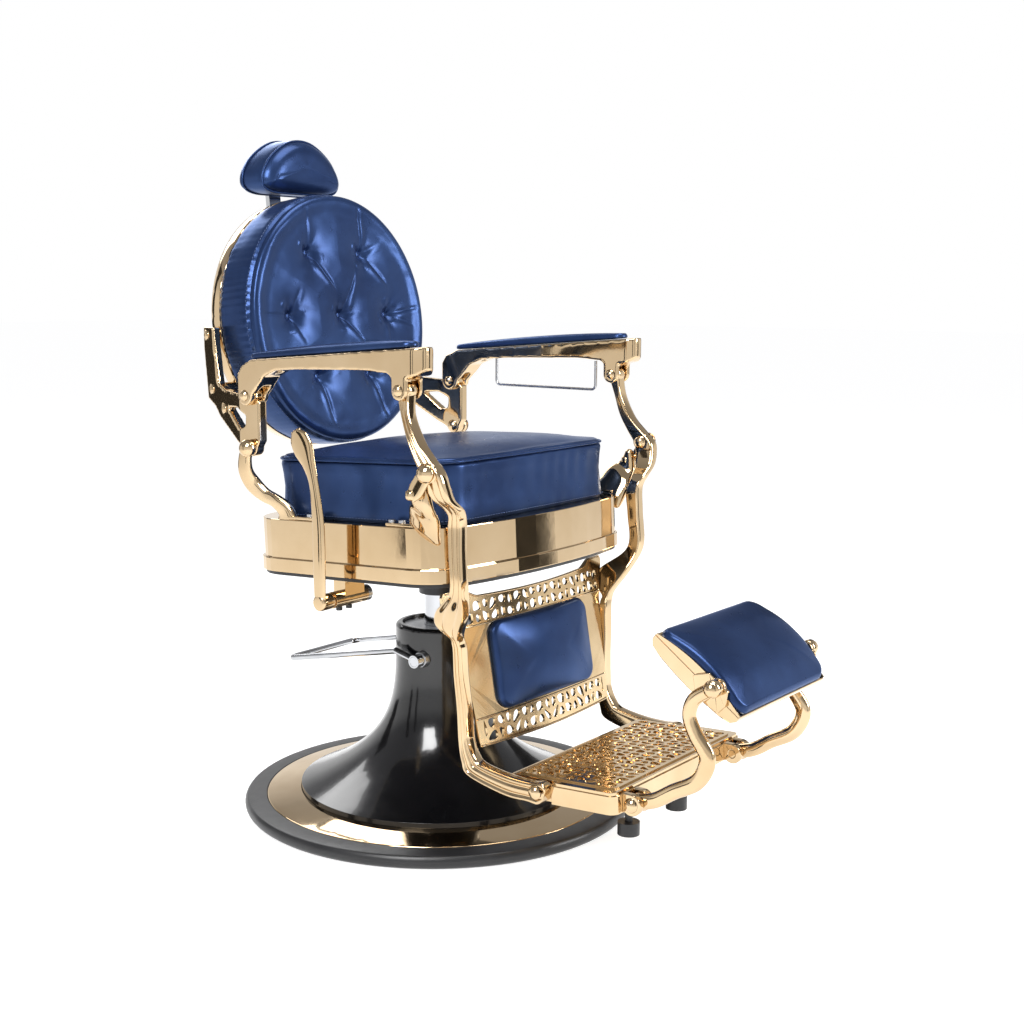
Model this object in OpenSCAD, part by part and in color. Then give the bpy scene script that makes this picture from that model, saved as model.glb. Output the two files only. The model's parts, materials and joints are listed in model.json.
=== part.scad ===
// Barber chair with a round tufted back, a hydraulic lift, a linked recline and a flip-over leg pad
// Millimetres, +Z up, the floor is z = 0 under the middle of the round base, the sitter faces -Y

/* [Base] */
// Outer radius of the rubber floor ring
base_r = 330; // [310:1:350]
// Width of the rubber floor ring
ring_w = 37; // [28:1:45]
// Height of the rubber floor ring
ring_h = 24; // [18:1:28]
// Thickness of the steel floor plate
plate_t = 8; // [6:1:10]
// Width of the gold ring between the rubber and the bell
trim_w = 58; // [45:1:75]
// Radius of the bell at its neck
bell_neck_r = 74; // [70:1:84]
// Height of the top of the bell
bell_top_z = 312; // [302:1:318]
// Wall of the bell
bell_wall = 5; // [4:0.5:7]
// Wall of the pressed trim ring
trim_wall = 2.5; // [2:0.5:4]

/* [Lift] */
// Radius of the lifting piston
piston_r = 24.5; // [20:0.5:28]
// Height of the top of the piston when the seat is at rest
piston_top_z = 404; // [400:1:408]
// Outer radius of the pump cylinder
cylinder_r = 48; // [44:1:52]
// Travel of the lift down from rest
lift_down = 45; // [20:1:45]

/* [Pedal] */
// Radius of the pedal rod
pedal_rod_r = 5.5; // [4:0.5:7]
// Half of the distance between the two pedal rods
pedal_half = 86; // [84:1:90]
// Distance from the lift axis to the far bar of the pedal
pedal_reach = 272; // [230:1:285]
// Height of the pedal shaft
pedal_z = 262; // [250:1:270]

/* [Seat] */
// Half of the width of the seat skirt
skirt_half = 254; // [250:1:256]
// Depth of the seat skirt
skirt_d = 418; // [400:1:425]
// Height of the skirt band
skirt_h = 84; // [70:1:95]
// Radius of the corners of the skirt
skirt_corner = 74; // [60:1:90]
// How far the front of the skirt bows forward
skirt_bow = 18; // [8:1:24]
// Height of the top of the skirt over the floor
seat_z = 511; // [505:1:515]
// Tilt of the seat, front up
seat_tilt = 2.8; // [1:0.1:4]
// Width of the ledge beside the seat cushion
seat_ledge = 21; // [20:1:29]
// Depth of the seat cushion
cushion_d = 362; // [340:1:370]
// Thickness of the seat cushion at its edge
cushion_h = 98; // [85:1:105]
// Rise of the crown of the seat cushion
cushion_crown = 13; // [8:1:20]

/* [Linkage] */
// Distance from the lift axis back to the back knuckle
back_pin_y = 170; // [165:1:175]
// Height of the back knuckle
back_pin_z = 616; // [610:1:622]
// Distance from the lift axis forward to the leg knuckle
leg_pin_y = 222; // [218:1:225]
// Height of the leg knuckle
leg_pin_z = 609; // [604:1:614]
// Distance from the lift axis back to the rear armrest pin
arm_rear_y = 170.5; // [168:0.5:174]
// Height of the rear armrest pin
arm_rear_z = 700; // [696:1:704]
// Distance from the lift axis forward to the front armrest pin
arm_front_y = 169.5; // [166:0.5:172]
// Height of the front armrest pin
arm_front_z = 723.5; // [720:0.5:727]
// Radius of every linkage pin
pin_r = 5; // [4:0.5:6]

/* [Armrests] */
// Half of the distance between the armrests at the rear pins
arm_rear_x = 255.5; // [254:0.5:257]
// Half of the distance between the armrests at the front pins
arm_front_x = 278; // [276:0.5:280]
// Half of the width of an armrest
arm_half = 20; // [18:0.5:22]
// Thickness of an armrest frame at its middle
// Height of the front end of an armrest
arm_nose_z = 787; // [782:1:792]
// Fall of an armrest from its front to its rear
arm_drop = 30; // [22:1:34]
// Thickness of an armrest pad
arm_pad_h = 15; // [10:1:18]

/* [Back] */
// Distance from the lift axis back to the middle of the back's front seam
back_y = 222; // [220:1:226]
// Height of the middle of the back
back_z = 815; // [812:1:820]
// Tilt of the back at rest
back_tilt = 6; // [4:0.5:8]
// Radius of the round back cushion
back_r = 210; // [205:1:213]
// Depth of the side band of the back cushion
back_band = 68; // [60:1:72]
// Depth of the metal shell behind the back cushion
shell_d = 32; // [26:1:36]
// Rise of the front of the back cushion
back_crown = 26; // [18:1:30]
// Depth of the tufts in the back cushion
tuft_depth = 26; // [14:1:30]

/* [Headrest] */
// Half of the width of the headrest
head_half = 96; // [80:1:100]
// Height of the headrest
head_h = 96; // [85:1:110]
// Depth of the headrest
head_d = 80; // [66:1:82]

/* [Legs] */
// Half of the distance over the outsides of the legs at the knee
knee_x = 297; // [296:0.5:299]
// Half of the distance over the outsides of the legs at the foot
foot_x = 203; // [198:1:206]
// Thickness of a leg
leg_t = 22; // [20:0.5:23]
// Height of the middle of the leg's foot
foot_z = 138; // [134:1:142]
// Distance from the lift axis forward to the footrest bolt
foot_y = 347; // [340:1:352]
// Width of the leg panel between the legs at its top
panel_half = 157; // [150:1:160]
// Height of the top of the leg panel
panel_top_z = 405; // [400:1:408]
// Height of the leg panel
panel_h = 230; // [215:1:235]

/* [Footrest] */
// Half of the width of the footrest plate
plate_half = 190; // [185:1:195]
// Distance from the lift axis forward to the front of the footrest
plate_front_y = 477; // [470:1:485]
// Depth of the footrest plate
plate_d = 192; // [180:1:196]
// Thickness of the footrest plate
plate_h = 32; // [26:1:36]
// Tilt of the footrest plate, front up
plate_tilt = 3; // [0:0.5:4]

/* [Flip pad] */
// Distance from the lift axis forward to the flip hinge
flip_y = 492; // [490:1:496]
// Height of the flip hinge
flip_z = 141; // [139:1:144]
// Distance from the lift axis forward to the pad pivot
pad_y = 609; // [604:1:614]
// Height of the pad pivot
pad_z = 328; // [322:1:334]
// Half of the width of the flip pad
pad_half = 135; // [125:1:138]
// Length of the flip pad across its arc
pad_len = 168; // [150:1:175]
// Slope of the flip pad
pad_slope = 36; // [30:1:42]

/* [Lever] */
// Half of the distance to the recline lever's outer face
lever_x = 296; // [292:1:300]
// Height of the lever shaft
lever_z = 392; // [388:1:395]
// Height of the top of the lever
lever_top_z = 651; // [620:1:660]
// Radius of the lever shaft
lever_shaft_r = 8; // [6:0.5:9]

/* [Hidden] */

// Clearances and overruns
gap = 0.3;
run = 0.06;
over = 2;
deep = 1000;

// Facets of round parts
fine = 96;
medium = 48;

// Colours
gold = [0.80, 0.68, 0.48];
black = [0.05, 0.05, 0.05];
rubber = [0.10, 0.10, 0.10];
steel = [0.62, 0.63, 0.65];
navy = [0.10, 0.17, 0.36];
wood = [0.72, 0.58, 0.40];

// Points of a circular arc around c from angle a to angle b in n steps
function arc(c, r, a, b, n = 12) =
    [for (i = [0:n]) c + r * [cos(a + (b - a) * i / n), sin(a + (b - a) * i / n)]];

// One point of a smooth curve that passes through p1 and p2
function blend_point(p0, p1, p2, p3, t) =
    (p1 * 2 + (p2 - p0) * t + (p0 * 2 - p1 * 5 + p2 * 4 - p3) * t * t
     + (p1 * 3 - p0 - p2 * 3 + p3) * t * t * t) / 2;

// A smooth curve through a list of points, with n steps between neighbours
function curve(p, n = 5) = let (last = len(p) - 1)
    [for (i = [0:last - 1]) for (k = [0:n - 1])
        blend_point(p[max(i - 1, 0)], p[i], p[i + 1], p[min(i + 2, last)], k / n), p[last]];

// Direction of a curve at its point i
function heading(c, i) = let (d = c[min(i + 1, len(c) - 1)] - c[max(i - 1, 0)])
    [d[0], d[1]] / norm([d[0], d[1]]);

// One side of a band whose points hold x, y and width
function side(c, s) = [for (i = [0:len(c) - 1]) let (h = heading(c, i))
    [c[i][0] - s * h[1] * c[i][2] / 2, c[i][1] + s * h[0] * c[i][2] / 2]];

function reversed(l) = [for (i = [len(l) - 1:-1:0]) l[i]];

// Outline of a band along a smooth curve, its width given point by point
function band(p, n = 5) = let (c = curve(p, n)) concat(side(c, 1), reversed(side(c, -1)));

// Outline of a rounded rectangle, half sizes a and b, corner r
function round_rect(a, b, r, n = 6) = concat(
    arc([a - r, b - r], r, 0, 90, n), arc([r - a, b - r], r, 90, 180, n),
    arc([r - a, r - b], r, 180, 270, n), arc([a - r, r - b], r, 270, 360, n));

// A plate that lies in the YZ plane, from x = a to x = b, its outline in (y, z)
module plate_yz(a, b) {
    translate([a, 0, 0]) rotate([90, 0, 90]) linear_extrude(b - a) children();
}

// A plate that lies in the XZ plane, from y = a to y = b, its outline in (x, z)
module plate_xz(a, b) {
    translate([0, b, 0]) rotate([90, 0, 0]) linear_extrude(b - a) children();
}

// A round bar from point a to point b
module bar(a, b, r) {
    d = b - a;
    translate(a) rotate([0, acos(d[2] / norm(d)), atan2(d[1], d[0])])
        cylinder(r = r, h = norm(d), $fn = medium);
}

// A quarter bend of round bar, radius b, that starts along +y and turns to +x
module elbow(b, r) {
    translate([b, 0, 0]) rotate([0, 0, 90]) rotate_extrude(angle = 90, $fn = medium)
        translate([b, 0]) circle(r = r, $fn = medium);
}

// A round pin along X at (y, z) from x = a to x = b
module pin_x(y, z, a, b, r) {
    translate([a, y, z]) rotate([0, 90, 0]) cylinder(r = r, h = b - a, $fn = medium);
}

// A round pin along Y from y = a to y = b
module pin_y(a, b, r) {
    translate([0, a, 0]) rotate([-90, 0, 0]) cylinder(r = r, h = b - a, $fn = medium);
}

// A domed bolt head along X, its flat face at x, its dome towards s
module dome_x(x, y, z, r, s) {
    translate([x, y, z]) rotate([0, 90 * s, 0]) intersection() {
        translate([0, 0, -r * 0.5]) sphere(r = r * 1.12, $fn = medium);
        cylinder(r = r, h = r, $fn = medium);
    }
}

// Both sides of the chair
module both() {
    children();
    mirror([1, 0, 0]) children();
}

// The sitter's right side, which is the mirror image of the left
module right_side() {
    mirror([1, 0, 0]) children();
}

// A closed soft form: rings of one outline, each with its scale and height, closed by a point at each end
module soft_form(rings, low, high) {
    n = len(rings[0]);
    m = len(rings);
    points = concat([low], [for (r = rings) for (p = r) p], [high]);
    faces = concat(
        [for (i = [0:n - 1]) [0, 1 + i, 1 + (i + 1) % n]],
        [for (j = [0:m - 2]) for (i = [0:n - 1])
            [1 + j * n + i, 1 + (j + 1) * n + (i + 1) % n, 1 + j * n + (i + 1) % n]],
        [for (j = [0:m - 2]) for (i = [0:n - 1])
            [1 + j * n + i, 1 + (j + 1) * n + i, 1 + (j + 1) * n + (i + 1) % n]],
        [for (i = [0:n - 1]) [m * n + 1, 1 + (m - 1) * n + (i + 1) % n, 1 + (m - 1) * n + i]]);
    polyhedron(points = points, faces = faces, convexity = 8);
}

// Scale and height shares of a cushion's side, from its bottom edge to its top edge
side_shares = [[0.80, 0], [0.955, 0], [0.985, 0.08], [0.975, 0.35], [0.975, 0.6], [0.995, 0.8],
               [0.985, 0.93], [0.955, 1]];
// Scales of the rings on a cushion's crown
crown_shares = [0.88, 0.76, 0.6, 0.42, 0.22];

// A crowned cushion standing on z = 0: outline in (x, y), height h at the edge, crown c
module cushion(outline, h, c) {
    side_rings = [for (s = side_shares) [for (p = outline) [p[0] * s[0], p[1] * s[0], h * s[1]]]];
    edge = side_shares[len(side_shares) - 1][0];
    crown_rings = [for (k = crown_shares) [for (p = outline)
        [p[0] * k, p[1] * k, h + c * (1 - pow(k / edge, 2))]]];
    soft_form(concat(side_rings, crown_rings), [0, 0, 0], [0, 0, h + c]);
}

// Base
ring_in = base_r - ring_w;
bell_foot_r = ring_in - trim_w;
ring_round = ring_h / 2;
ring_edge_angle = 60;
trim_in_z = ring_h + plate_t;
rim_rise = 8;
foot_rim_z = trim_in_z + rim_rise;
foot_rim_r = bell_foot_r;

module floor_ring() {
    color(rubber) rotate_extrude($fn = fine) polygon(concat(
        [[ring_in + gap, 0]],
        arc([base_r - ring_round, ring_round], ring_round, -90, ring_edge_angle, 10),
        [[ring_in + gap, ring_h]]));
}

module base_plate() {
    color(black) cylinder(r = ring_in, h = plate_t, $fn = fine);
}

module trim_ring() {
    inner = bell_foot_r + gap;
    outer = ring_in;
    color(gold) rotate_extrude($fn = fine) polygon([
        [inner, plate_t], [inner + trim_wall, plate_t], [inner + trim_wall, trim_in_z - trim_wall],
        [outer - trim_wall, ring_h - trim_wall], [outer - trim_wall, plate_t], [outer, plate_t],
        [outer, ring_h], [inner, trim_in_z]]);
}

// Radius of the bell's flare at height share u over its foot
function flare(u) = bell_neck_r + (bell_foot_r - bell_neck_r) * pow(1 - u, 4);
flare_steps = 20;
bell_round = 7;
flare_h = bell_top_z - bell_round - foot_rim_z;
cap_in = 12;
cap_r = bell_neck_r - cap_in;
cap_t = 10;
cap_sink = 5;
cap_z = bell_top_z - cap_sink - cap_t;

// Outer profile of the bell, drawn in by w
function bell_profile(w) = concat(
    [[foot_rim_r - w, plate_t], [foot_rim_r - w, foot_rim_z - w]],
    [for (i = [1:flare_steps]) [flare(i / flare_steps) - w, foot_rim_z + flare_h * i / flare_steps - w / 2]]);

module bell_cover() {
    pedal_hole = bush_r;
    color(black) difference() {
        rotate_extrude($fn = fine) polygon(concat(
            bell_profile(0),
            arc([bell_neck_r - bell_round, bell_top_z - bell_round], bell_round, 0, 90, 6),
            [[cap_r + gap, bell_top_z], [cap_r + gap, cap_z - bell_wall]],
            reversed(bell_profile(bell_wall))));
        pin_x(-pedal_pin_y, pedal_z, -bell_neck_r * 2, bell_neck_r * 2, pedal_hole + gap);
    }
}

chamber_wall = 8;
chamber_r = cylinder_r - chamber_wall;
cylinder_top_z = cap_z - gap;
module pump_cylinder() {
    floor_t = 6;
    color(steel) difference() {
        translate([0, 0, plate_t]) cylinder(r = cylinder_r, h = cylinder_top_z - plate_t, $fn = fine);
        translate([0, 0, plate_t + floor_t]) cylinder(r = chamber_r, h = cylinder_top_z, $fn = fine);
    }
}

module column_cap() {
    color(steel) difference() {
        translate([0, 0, cap_z]) cylinder(r = cap_r, h = cap_t, $fn = fine);
        translate([0, 0, cap_z - over]) cylinder(r = piston_r + run, h = cap_t + over * 2, $fn = fine);
    }
}

// Lift
head_h_piston = 24;
piston_floor = 8;
piston_low_z = plate_t + piston_floor + lift_down;
module piston() {
    color(steel) {
        translate([0, 0, piston_low_z]) cylinder(r = piston_r, h = piston_top_z - piston_low_z, $fn = fine);
        translate([0, 0, piston_low_z]) cylinder(r = chamber_r - run, h = head_h_piston, $fn = fine);
    }
}

// Pedal
pedal_pin_y = 22;
pedal_pin_r = 8;
bush_r = 13;
bush_reach = 20;
bush_in_x = bell_neck_r - bush_reach;
pedal_hub_r = 11;
pedal_hub_w = 15;
pedal_rise = 11;
pedal_bend_y = 23;
pedal_drop = 40;
pedal_tip_z = pedal_z - pedal_drop;
pedal_corner = 16;
bush_lip = 4;
bush_out_x = bell_neck_r + bush_lip;

module pedal_bushes() {
    color(steel) both() difference() {
        pin_x(-pedal_pin_y, pedal_z, bush_in_x, bush_out_x, bush_r);
        pin_x(-pedal_pin_y, pedal_z, bush_in_x - over, bush_out_x + over, pedal_pin_r + run);
    }
}

keeper_t = 4;
keeper_r = pedal_pin_r + keeper_t;
module pedal_shaft() {
    color(steel) both() {
        pin_x(-pedal_pin_y, pedal_z, bush_in_x - gap, pedal_half + pedal_hub_w / 2, pedal_pin_r);
        pin_x(-pedal_pin_y, pedal_z, bush_in_x - gap - keeper_t, bush_in_x - gap, keeper_r);
    }
}

module pedal_loop() {
    fall = atan((pedal_z + pedal_rise - pedal_tip_z) / (pedal_reach - pedal_bend_y));
    knee = [pedal_half, pedal_bend_y, pedal_z + pedal_rise];
    run_l = (pedal_reach - pedal_bend_y) / cos(fall) - pedal_corner;
    color(steel) both() {
        difference() {
            union() {
                pin_x(-pedal_pin_y, pedal_z, bush_out_x + gap, pedal_half + pedal_hub_w / 2 + gap,
                    pedal_hub_r);
                bar([pedal_half, -pedal_pin_y, pedal_z], knee, pedal_rod_r);
                translate(knee) sphere(r = pedal_rod_r * 1.04, $fn = medium);
                translate(knee) rotate([-fall, 0, 0]) {
                    rotate([-90, 0, 0]) cylinder(r = pedal_rod_r, h = run_l, $fn = medium);
                    translate([0, run_l, 0]) mirror([1, 0, 0]) elbow(pedal_corner, pedal_rod_r);
                    pin_x(run_l + pedal_corner, 0, -pedal_half - over, -pedal_corner, pedal_rod_r);
                }
            }
            pin_x(-pedal_pin_y, pedal_z, 0, pedal_half + pedal_hub_w / 2 + gap + over, pedal_pin_r);
        }
    }
}

// Seat frame: local z = 0 is the top of the skirt, and the frame tilts up to the front
seat_mid_y = -9;
module on_seat() {
    translate([0, seat_mid_y, seat_z]) rotate([-seat_tilt, 0, 0]) children();
}

// Everything under the top of the skirt
module under_seat() {
    on_seat() translate([-deep / 2, -deep / 2, -deep]) cube(deep);
}

// Outline of a box with a bowed front, half sizes a and b, corner r, bow w, grown by g
front_angle = 270;
function bowed(a, b, r, w, g) = let (t = atan(2 * w / (a - r)),
        x0 = a - r + (r + g) * sin(t), y0 = r - b - (r + g) * cos(t)) concat(
    arc([a - r, b - r], r + g, 0, 90, 8), arc([r - a, b - r], r + g, 90, 180, 8),
    arc([r - a, r - b], r + g, 180, front_angle - t, 8),
    [for (i = [1:7]) [x0 * (i / 4 - 1), y0 - x0 * tan(t) / 2 * (1 - pow(i / 4 - 1, 2))]],
    arc([a - r, r - b], r + g, front_angle + t, 360, 8));

function skirt_outline(g) = bowed(skirt_half, skirt_d / 2, skirt_corner, skirt_bow, g);
cushion_half = skirt_half - seat_ledge;
cushion_corner = 55;
cushion_bow = 9;
cushion_mid_y = -8;
cushion_side_gap = 2;
function cushion_outline(g) = bowed(cushion_half, cushion_d / 2, cushion_corner, cushion_bow, g);

skirt_wall = 3;
skirt_proud = 4;
skirt_step = 22;
skirt_flange = 45;
frame_plate_t = 6;
frame_edge = 1;
rail_x = 150;
rail_w = 30;
rail_half = 150;
board_t = 12;

module skirt_band() {
    color(gold) difference() {
        on_seat() difference() {
            union() {
                translate([0, 0, -skirt_h]) linear_extrude(skirt_h) polygon(skirt_outline(0));
                translate([0, 0, -skirt_h]) linear_extrude(skirt_step) polygon(skirt_outline(skirt_proud));
            }
            translate([0, 0, -skirt_h - over]) linear_extrude(skirt_h + over - skirt_wall)
                polygon(skirt_outline(-skirt_wall));
            translate([0, 0, -skirt_h]) linear_extrude(skirt_h + over)
                polygon(skirt_outline(-skirt_flange));
        }
        foot_bolt_holes();
    }
}

hub_flange_r = 78;
hub_flange_t = 8;
hub_r = 34;
hub_low_z = 362;
hub_bolt_r = 5;
hub_bolt_pcd = 57;
hub_bolt_head_r = 8.5;
hub_bolt_head_h = 6;
hub_top = -skirt_h - frame_plate_t;

module hub_bolt_places() {
    for (a = [45:90:315]) rotate(a) translate([hub_bolt_pcd, 0, 0]) children();
}

module swivel_hub() {
    color(black) difference() {
        union() {
            difference() {
                translate([0, 0, hub_low_z]) cylinder(r = hub_r, h = seat_z - hub_low_z, $fn = fine);
                on_seat() translate([-deep / 2, -deep / 2, hub_top - hub_flange_t / 2]) cube(deep);
            }
            on_seat() translate([0, 0, hub_top - hub_flange_t])
                cylinder(r = hub_flange_r, h = hub_flange_t, $fn = fine);
        }
        translate([0, 0, hub_low_z - over])
            cylinder(r = piston_r + run, h = piston_top_z + run - hub_low_z + over, $fn = fine);
        on_seat() hub_bolt_places() translate([0, 0, hub_top - hub_flange_t - over])
            cylinder(r = hub_bolt_r, h = hub_flange_t + over * 2, $fn = medium);
    }
}

module seat_underframe() {
    cross_y = 120;
    color(black) on_seat() difference() {
        union() {
            translate([0, 0, hub_top]) linear_extrude(frame_plate_t) polygon(skirt_outline(-frame_edge));
            both() translate([rail_x, -rail_half, -skirt_h - over])
                cube([rail_w, rail_half * 2, skirt_h + over - board_t]);
            for (s = [-1, 1]) translate([-rail_x - over, s * cross_y - rail_w / 2, -skirt_h - over])
                cube([rail_x * 2 + over * 2, rail_w, skirt_h + over - board_t]);
        }
        hub_bolt_places() translate([0, 0, hub_top - over])
            cylinder(r = hub_bolt_r, h = frame_plate_t + over * 2, $fn = medium);
    }
}

module hub_bolts() {
    shank = hub_flange_t + frame_plate_t + hub_bolt_head_h;
    color(steel) on_seat() hub_bolt_places() {
        translate([0, 0, hub_top - hub_flange_t - hub_bolt_head_h])
            cylinder(r = hub_bolt_head_r, h = hub_bolt_head_h, $fn = medium);
        translate([0, 0, hub_top - hub_flange_t]) cylinder(r = hub_bolt_r, h = shank, $fn = medium);
    }
}

module seat_board() {
    color(wood) on_seat() translate([0, 0, -board_t]) linear_extrude(board_t)
        polygon(skirt_outline(-skirt_flange - gap));
}

module seat_cushion() {
    color(navy) on_seat() translate([0, cushion_mid_y, 0])
        cushion(cushion_outline(0), cushion_h, cushion_crown);
}

// A gas lock lies in the seat frame between the cross rails
module recline_lock() {
    lock_r = 14;
    lock_rod_r = 5;
    lock_x = -60;
    lock_half = 100;
    lock_body = 120;
    color(steel) on_seat() translate([lock_x, -lock_half, -skirt_h + lock_r]) rotate([-90, 0, 0]) {
        cylinder(r = lock_r, h = lock_body, $fn = medium);
        cylinder(r = lock_rod_r, h = lock_half * 2, $fn = medium);
    }
}

// Seat brackets: outlines as y and z beside each knuckle
ball_r = 14;
leg_knee_r = 16;
cheek_t = 6;
cheek_x = knee_x + gap;
front_casting = [[15, -21], [11, -34], [8, -49], [5, -56], [4, -62], [5, -69], [10, -72], [17, -95],
                 [74, -95], [62, -77], [43, -44], [30, -22]];
front_cheek = [[-13, -6], [8, -37], [32, -43], [36, -27], [14, 5]];
front_bridge = [[16, -23], [19, -42], [40, -44], [32, -23]];
// Places across the chair beside the knuckle, then beside the top of the skirt, each with its width
front_high = [[-21.5, -14, 19], [-21.5, -44, 19], [-27, -64, 19]];
front_low = [[-3, 15, 19], [-22, -6, 19]];
function placed(l, x, z) = [for (p = l) [p[0] + x, p[1] + z, p[2]]];
front_path = concat(placed(front_high, knee_x, leg_pin_z), placed(front_low, skirt_half, seat_z));
rear_strap = [[-11, 0], [-6, -33], [-13, -55], [-35, -74], [-56, -80], [-82, -97], [-88, -125], [-36, -125],
              [-48, -89], [-22, -81], [6, -72], [20, -58], [25, -41], [21, -15], [12, 0]];
stalk_in = 246;
stalk_out = 264.2;
back_cheek_x = stalk_out + gap;
back_cheek_t = 11;
rear_high = [[5.1, 24, 11], [5.1, -24, 11], [-0.5, -48, 16]];
rear_low = [[0, 32, 18], [-8.5, 11, 17], [-9.5, -31, 17]];
rear_path = concat(placed(rear_high, back_cheek_x, back_pin_z), placed(rear_low, skirt_half, seat_z));

module front_bracket_left() {
    y = -leg_pin_y;
    z = leg_pin_z;
    color(gold) difference() {
        union() {
            intersection() {
                plate_yz(0, cheek_x) translate([y, z]) polygon(front_casting);
                plate_xz(-deep, 0) polygon(band(front_path));
            }
            plate_yz(cheek_x, cheek_x + cheek_t) translate([y, z]) {
                polygon(front_cheek);
                circle(r = ball_r, $fn = medium);
            }
            plate_yz(back_cheek_x, cheek_x + over) translate([y, z]) polygon(front_bridge);
            foot(front_foot_y, front_foot_d);
        }
        under_seat();
        foot_bolt_holes();
        pin_x(y, z, cheek_x - over, cheek_x + cheek_t + over, pin_r);
    }
}

module rear_bracket_left() {
    y = back_pin_y;
    z = back_pin_z;
    color(gold) difference() {
        union() {
            intersection() {
                plate_yz(0, skirt_half * 2) translate([y, z]) polygon(rear_strap);
                plate_xz(0, deep) polygon(band(rear_path));
            }
            pin_x(y, z, back_cheek_x, back_cheek_x + back_cheek_t, ball_r);
            foot(rear_foot_y, rear_foot_d);
        }
        under_seat();
        foot_bolt_holes();
        pin_x(y, z, back_cheek_x - over, back_cheek_x + back_cheek_t + over, pin_r);
    }
}

module front_bracket_right() { right_side() front_bracket_left(); }
module rear_bracket_right() { right_side() rear_bracket_left(); }

// A foot on the skirt's flange between the cushion and the skirt's edge
foot_t = 6;
front_foot_y = -183;
front_foot_d = 93;
rear_foot_y = 38;
rear_foot_d = 90;
foot_bolt_r = 3.5;
foot_bolt_head_r = 6;
foot_bolt_head_h = 4;
foot_bolt_inset = 9.5;
foot_bolt_ys = [-122, -102, 50, 68];
module foot(y, d) {
    on_seat() intersection() {
        linear_extrude(foot_t) difference() {
            polygon(skirt_outline(-frame_edge));
            translate([0, cushion_mid_y]) polygon(cushion_outline(cushion_side_gap));
        }
        translate([0, y, -over]) cube([deep, d, foot_t + over * 2]);
    }
}

module foot_bolt_places() {
    for (y = foot_bolt_ys) on_seat() translate([skirt_half - foot_bolt_inset, y, 0]) children();
}

module foot_bolt_holes() {
    both() foot_bolt_places() translate([0, 0, -skirt_wall - over])
        cylinder(r = foot_bolt_r, h = skirt_wall + foot_t + over * 2, $fn = medium);
}

module bracket_bolts() {
    color(steel) both() foot_bolt_places() {
        translate([0, 0, foot_t]) cylinder(r = foot_bolt_head_r, h = foot_bolt_head_h, $fn = medium);
        translate([0, 0, -skirt_wall - over])
            cylinder(r = foot_bolt_r, h = skirt_wall + over + foot_t, $fn = medium);
    }
}

pin_head_r = 11;
knee_room = 1.8;
module knuckle_pins() {
    color(gold) both() {
        pin_x(-leg_pin_y, leg_pin_z, knee_x - leg_t - knee_room, cheek_x + cheek_t, pin_r);
        dome_x(cheek_x + cheek_t, -leg_pin_y, leg_pin_z, ball_r, 1);
        dome_x(knee_x - leg_t - knee_room, -leg_pin_y, leg_pin_z, pin_head_r, -1);
        pin_x(back_pin_y, back_pin_z, stalk_in - gap, back_cheek_x + back_cheek_t, pin_r);
        dome_x(back_cheek_x + back_cheek_t, back_pin_y, back_pin_z, ball_r, 1);
        dome_x(stalk_in - gap, back_pin_y, back_pin_z, pin_head_r, -1);
    }
}

// Recline lever on the sitter's right
lever_y = -5;
lever_t = 8;
bearing_r = 13;
bearing_in_x = 195;
bearing_out_x = 268;
hanger_in_x = 205;
hanger_w = 44;
hanger_d = 24;
set_bolt_r = 5;
set_bolt_l = 14;
set_bolts = [228, 250];
lever_collar_r = 13;
lever_shares = [[0, 0], [0.003, 0.2], [0.006, 0.45], [0.02, 0.6], [0.04, 0.72], [0.075, 0.82], [0.115, 0.9],
                [0.155, 0.965], [0.175, 1]];
lever_widths = [22, 26, 26, 21, 19, 27, 42, 38, 20];

module shaft_bearings() {
    color(gold) difference() {
        union() {
            pin_x(lever_y, lever_z, -bearing_out_x, -bearing_in_x, bearing_r);
            difference() {
                translate([-hanger_in_x - hanger_w, lever_y - hanger_d / 2, lever_z])
                    cube([hanger_w, hanger_d, seat_z - lever_z]);
                on_seat() translate([-deep / 2, -deep / 2, hub_top]) cube(deep);
            }
        }
        pin_x(lever_y, lever_z, -bearing_out_x - over, -bearing_in_x + over, lever_shaft_r + run);
        for (x = set_bolts) translate([-x, lever_y, lever_z - bearing_r - set_bolt_l / 2])
            cylinder(r = set_bolt_r / 2, h = set_bolt_l, $fn = medium);
    }
}

module lever_set_bolts() {
    shank = bearing_r - lever_shaft_r - run * 2;
    color(black) for (x = set_bolts) translate([-x, lever_y, lever_z - bearing_r - set_bolt_r]) {
        cylinder(r = set_bolt_r, h = set_bolt_r, $fn = medium);
        cylinder(r = set_bolt_r / 2, h = set_bolt_r + shank, $fn = medium);
    }
}

module lever_shaft() {
    color(steel) {
        pin_x(lever_y, lever_z, -lever_x, -bearing_in_x + gap, lever_shaft_r);
        pin_x(lever_y, lever_z, -bearing_in_x + gap, -bearing_in_x + gap + lever_t, lever_collar_r);
    }
}

module recline_lever() {
    h = lever_top_z - lever_z;
    path = [for (i = [0:len(lever_shares) - 1])
        [lever_y + h * lever_shares[i][0], lever_z + h * lever_shares[i][1], lever_widths[i]]];
    color(gold) difference() {
        union() {
            plate_yz(-lever_x, -lever_x + lever_t) polygon(band(path));
            pin_x(lever_y, lever_z, -lever_x, -bearing_out_x - gap, lever_collar_r);
        }
        pin_x(lever_y, lever_z, -lever_x - over, 0, lever_shaft_r);
    }
}

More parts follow.
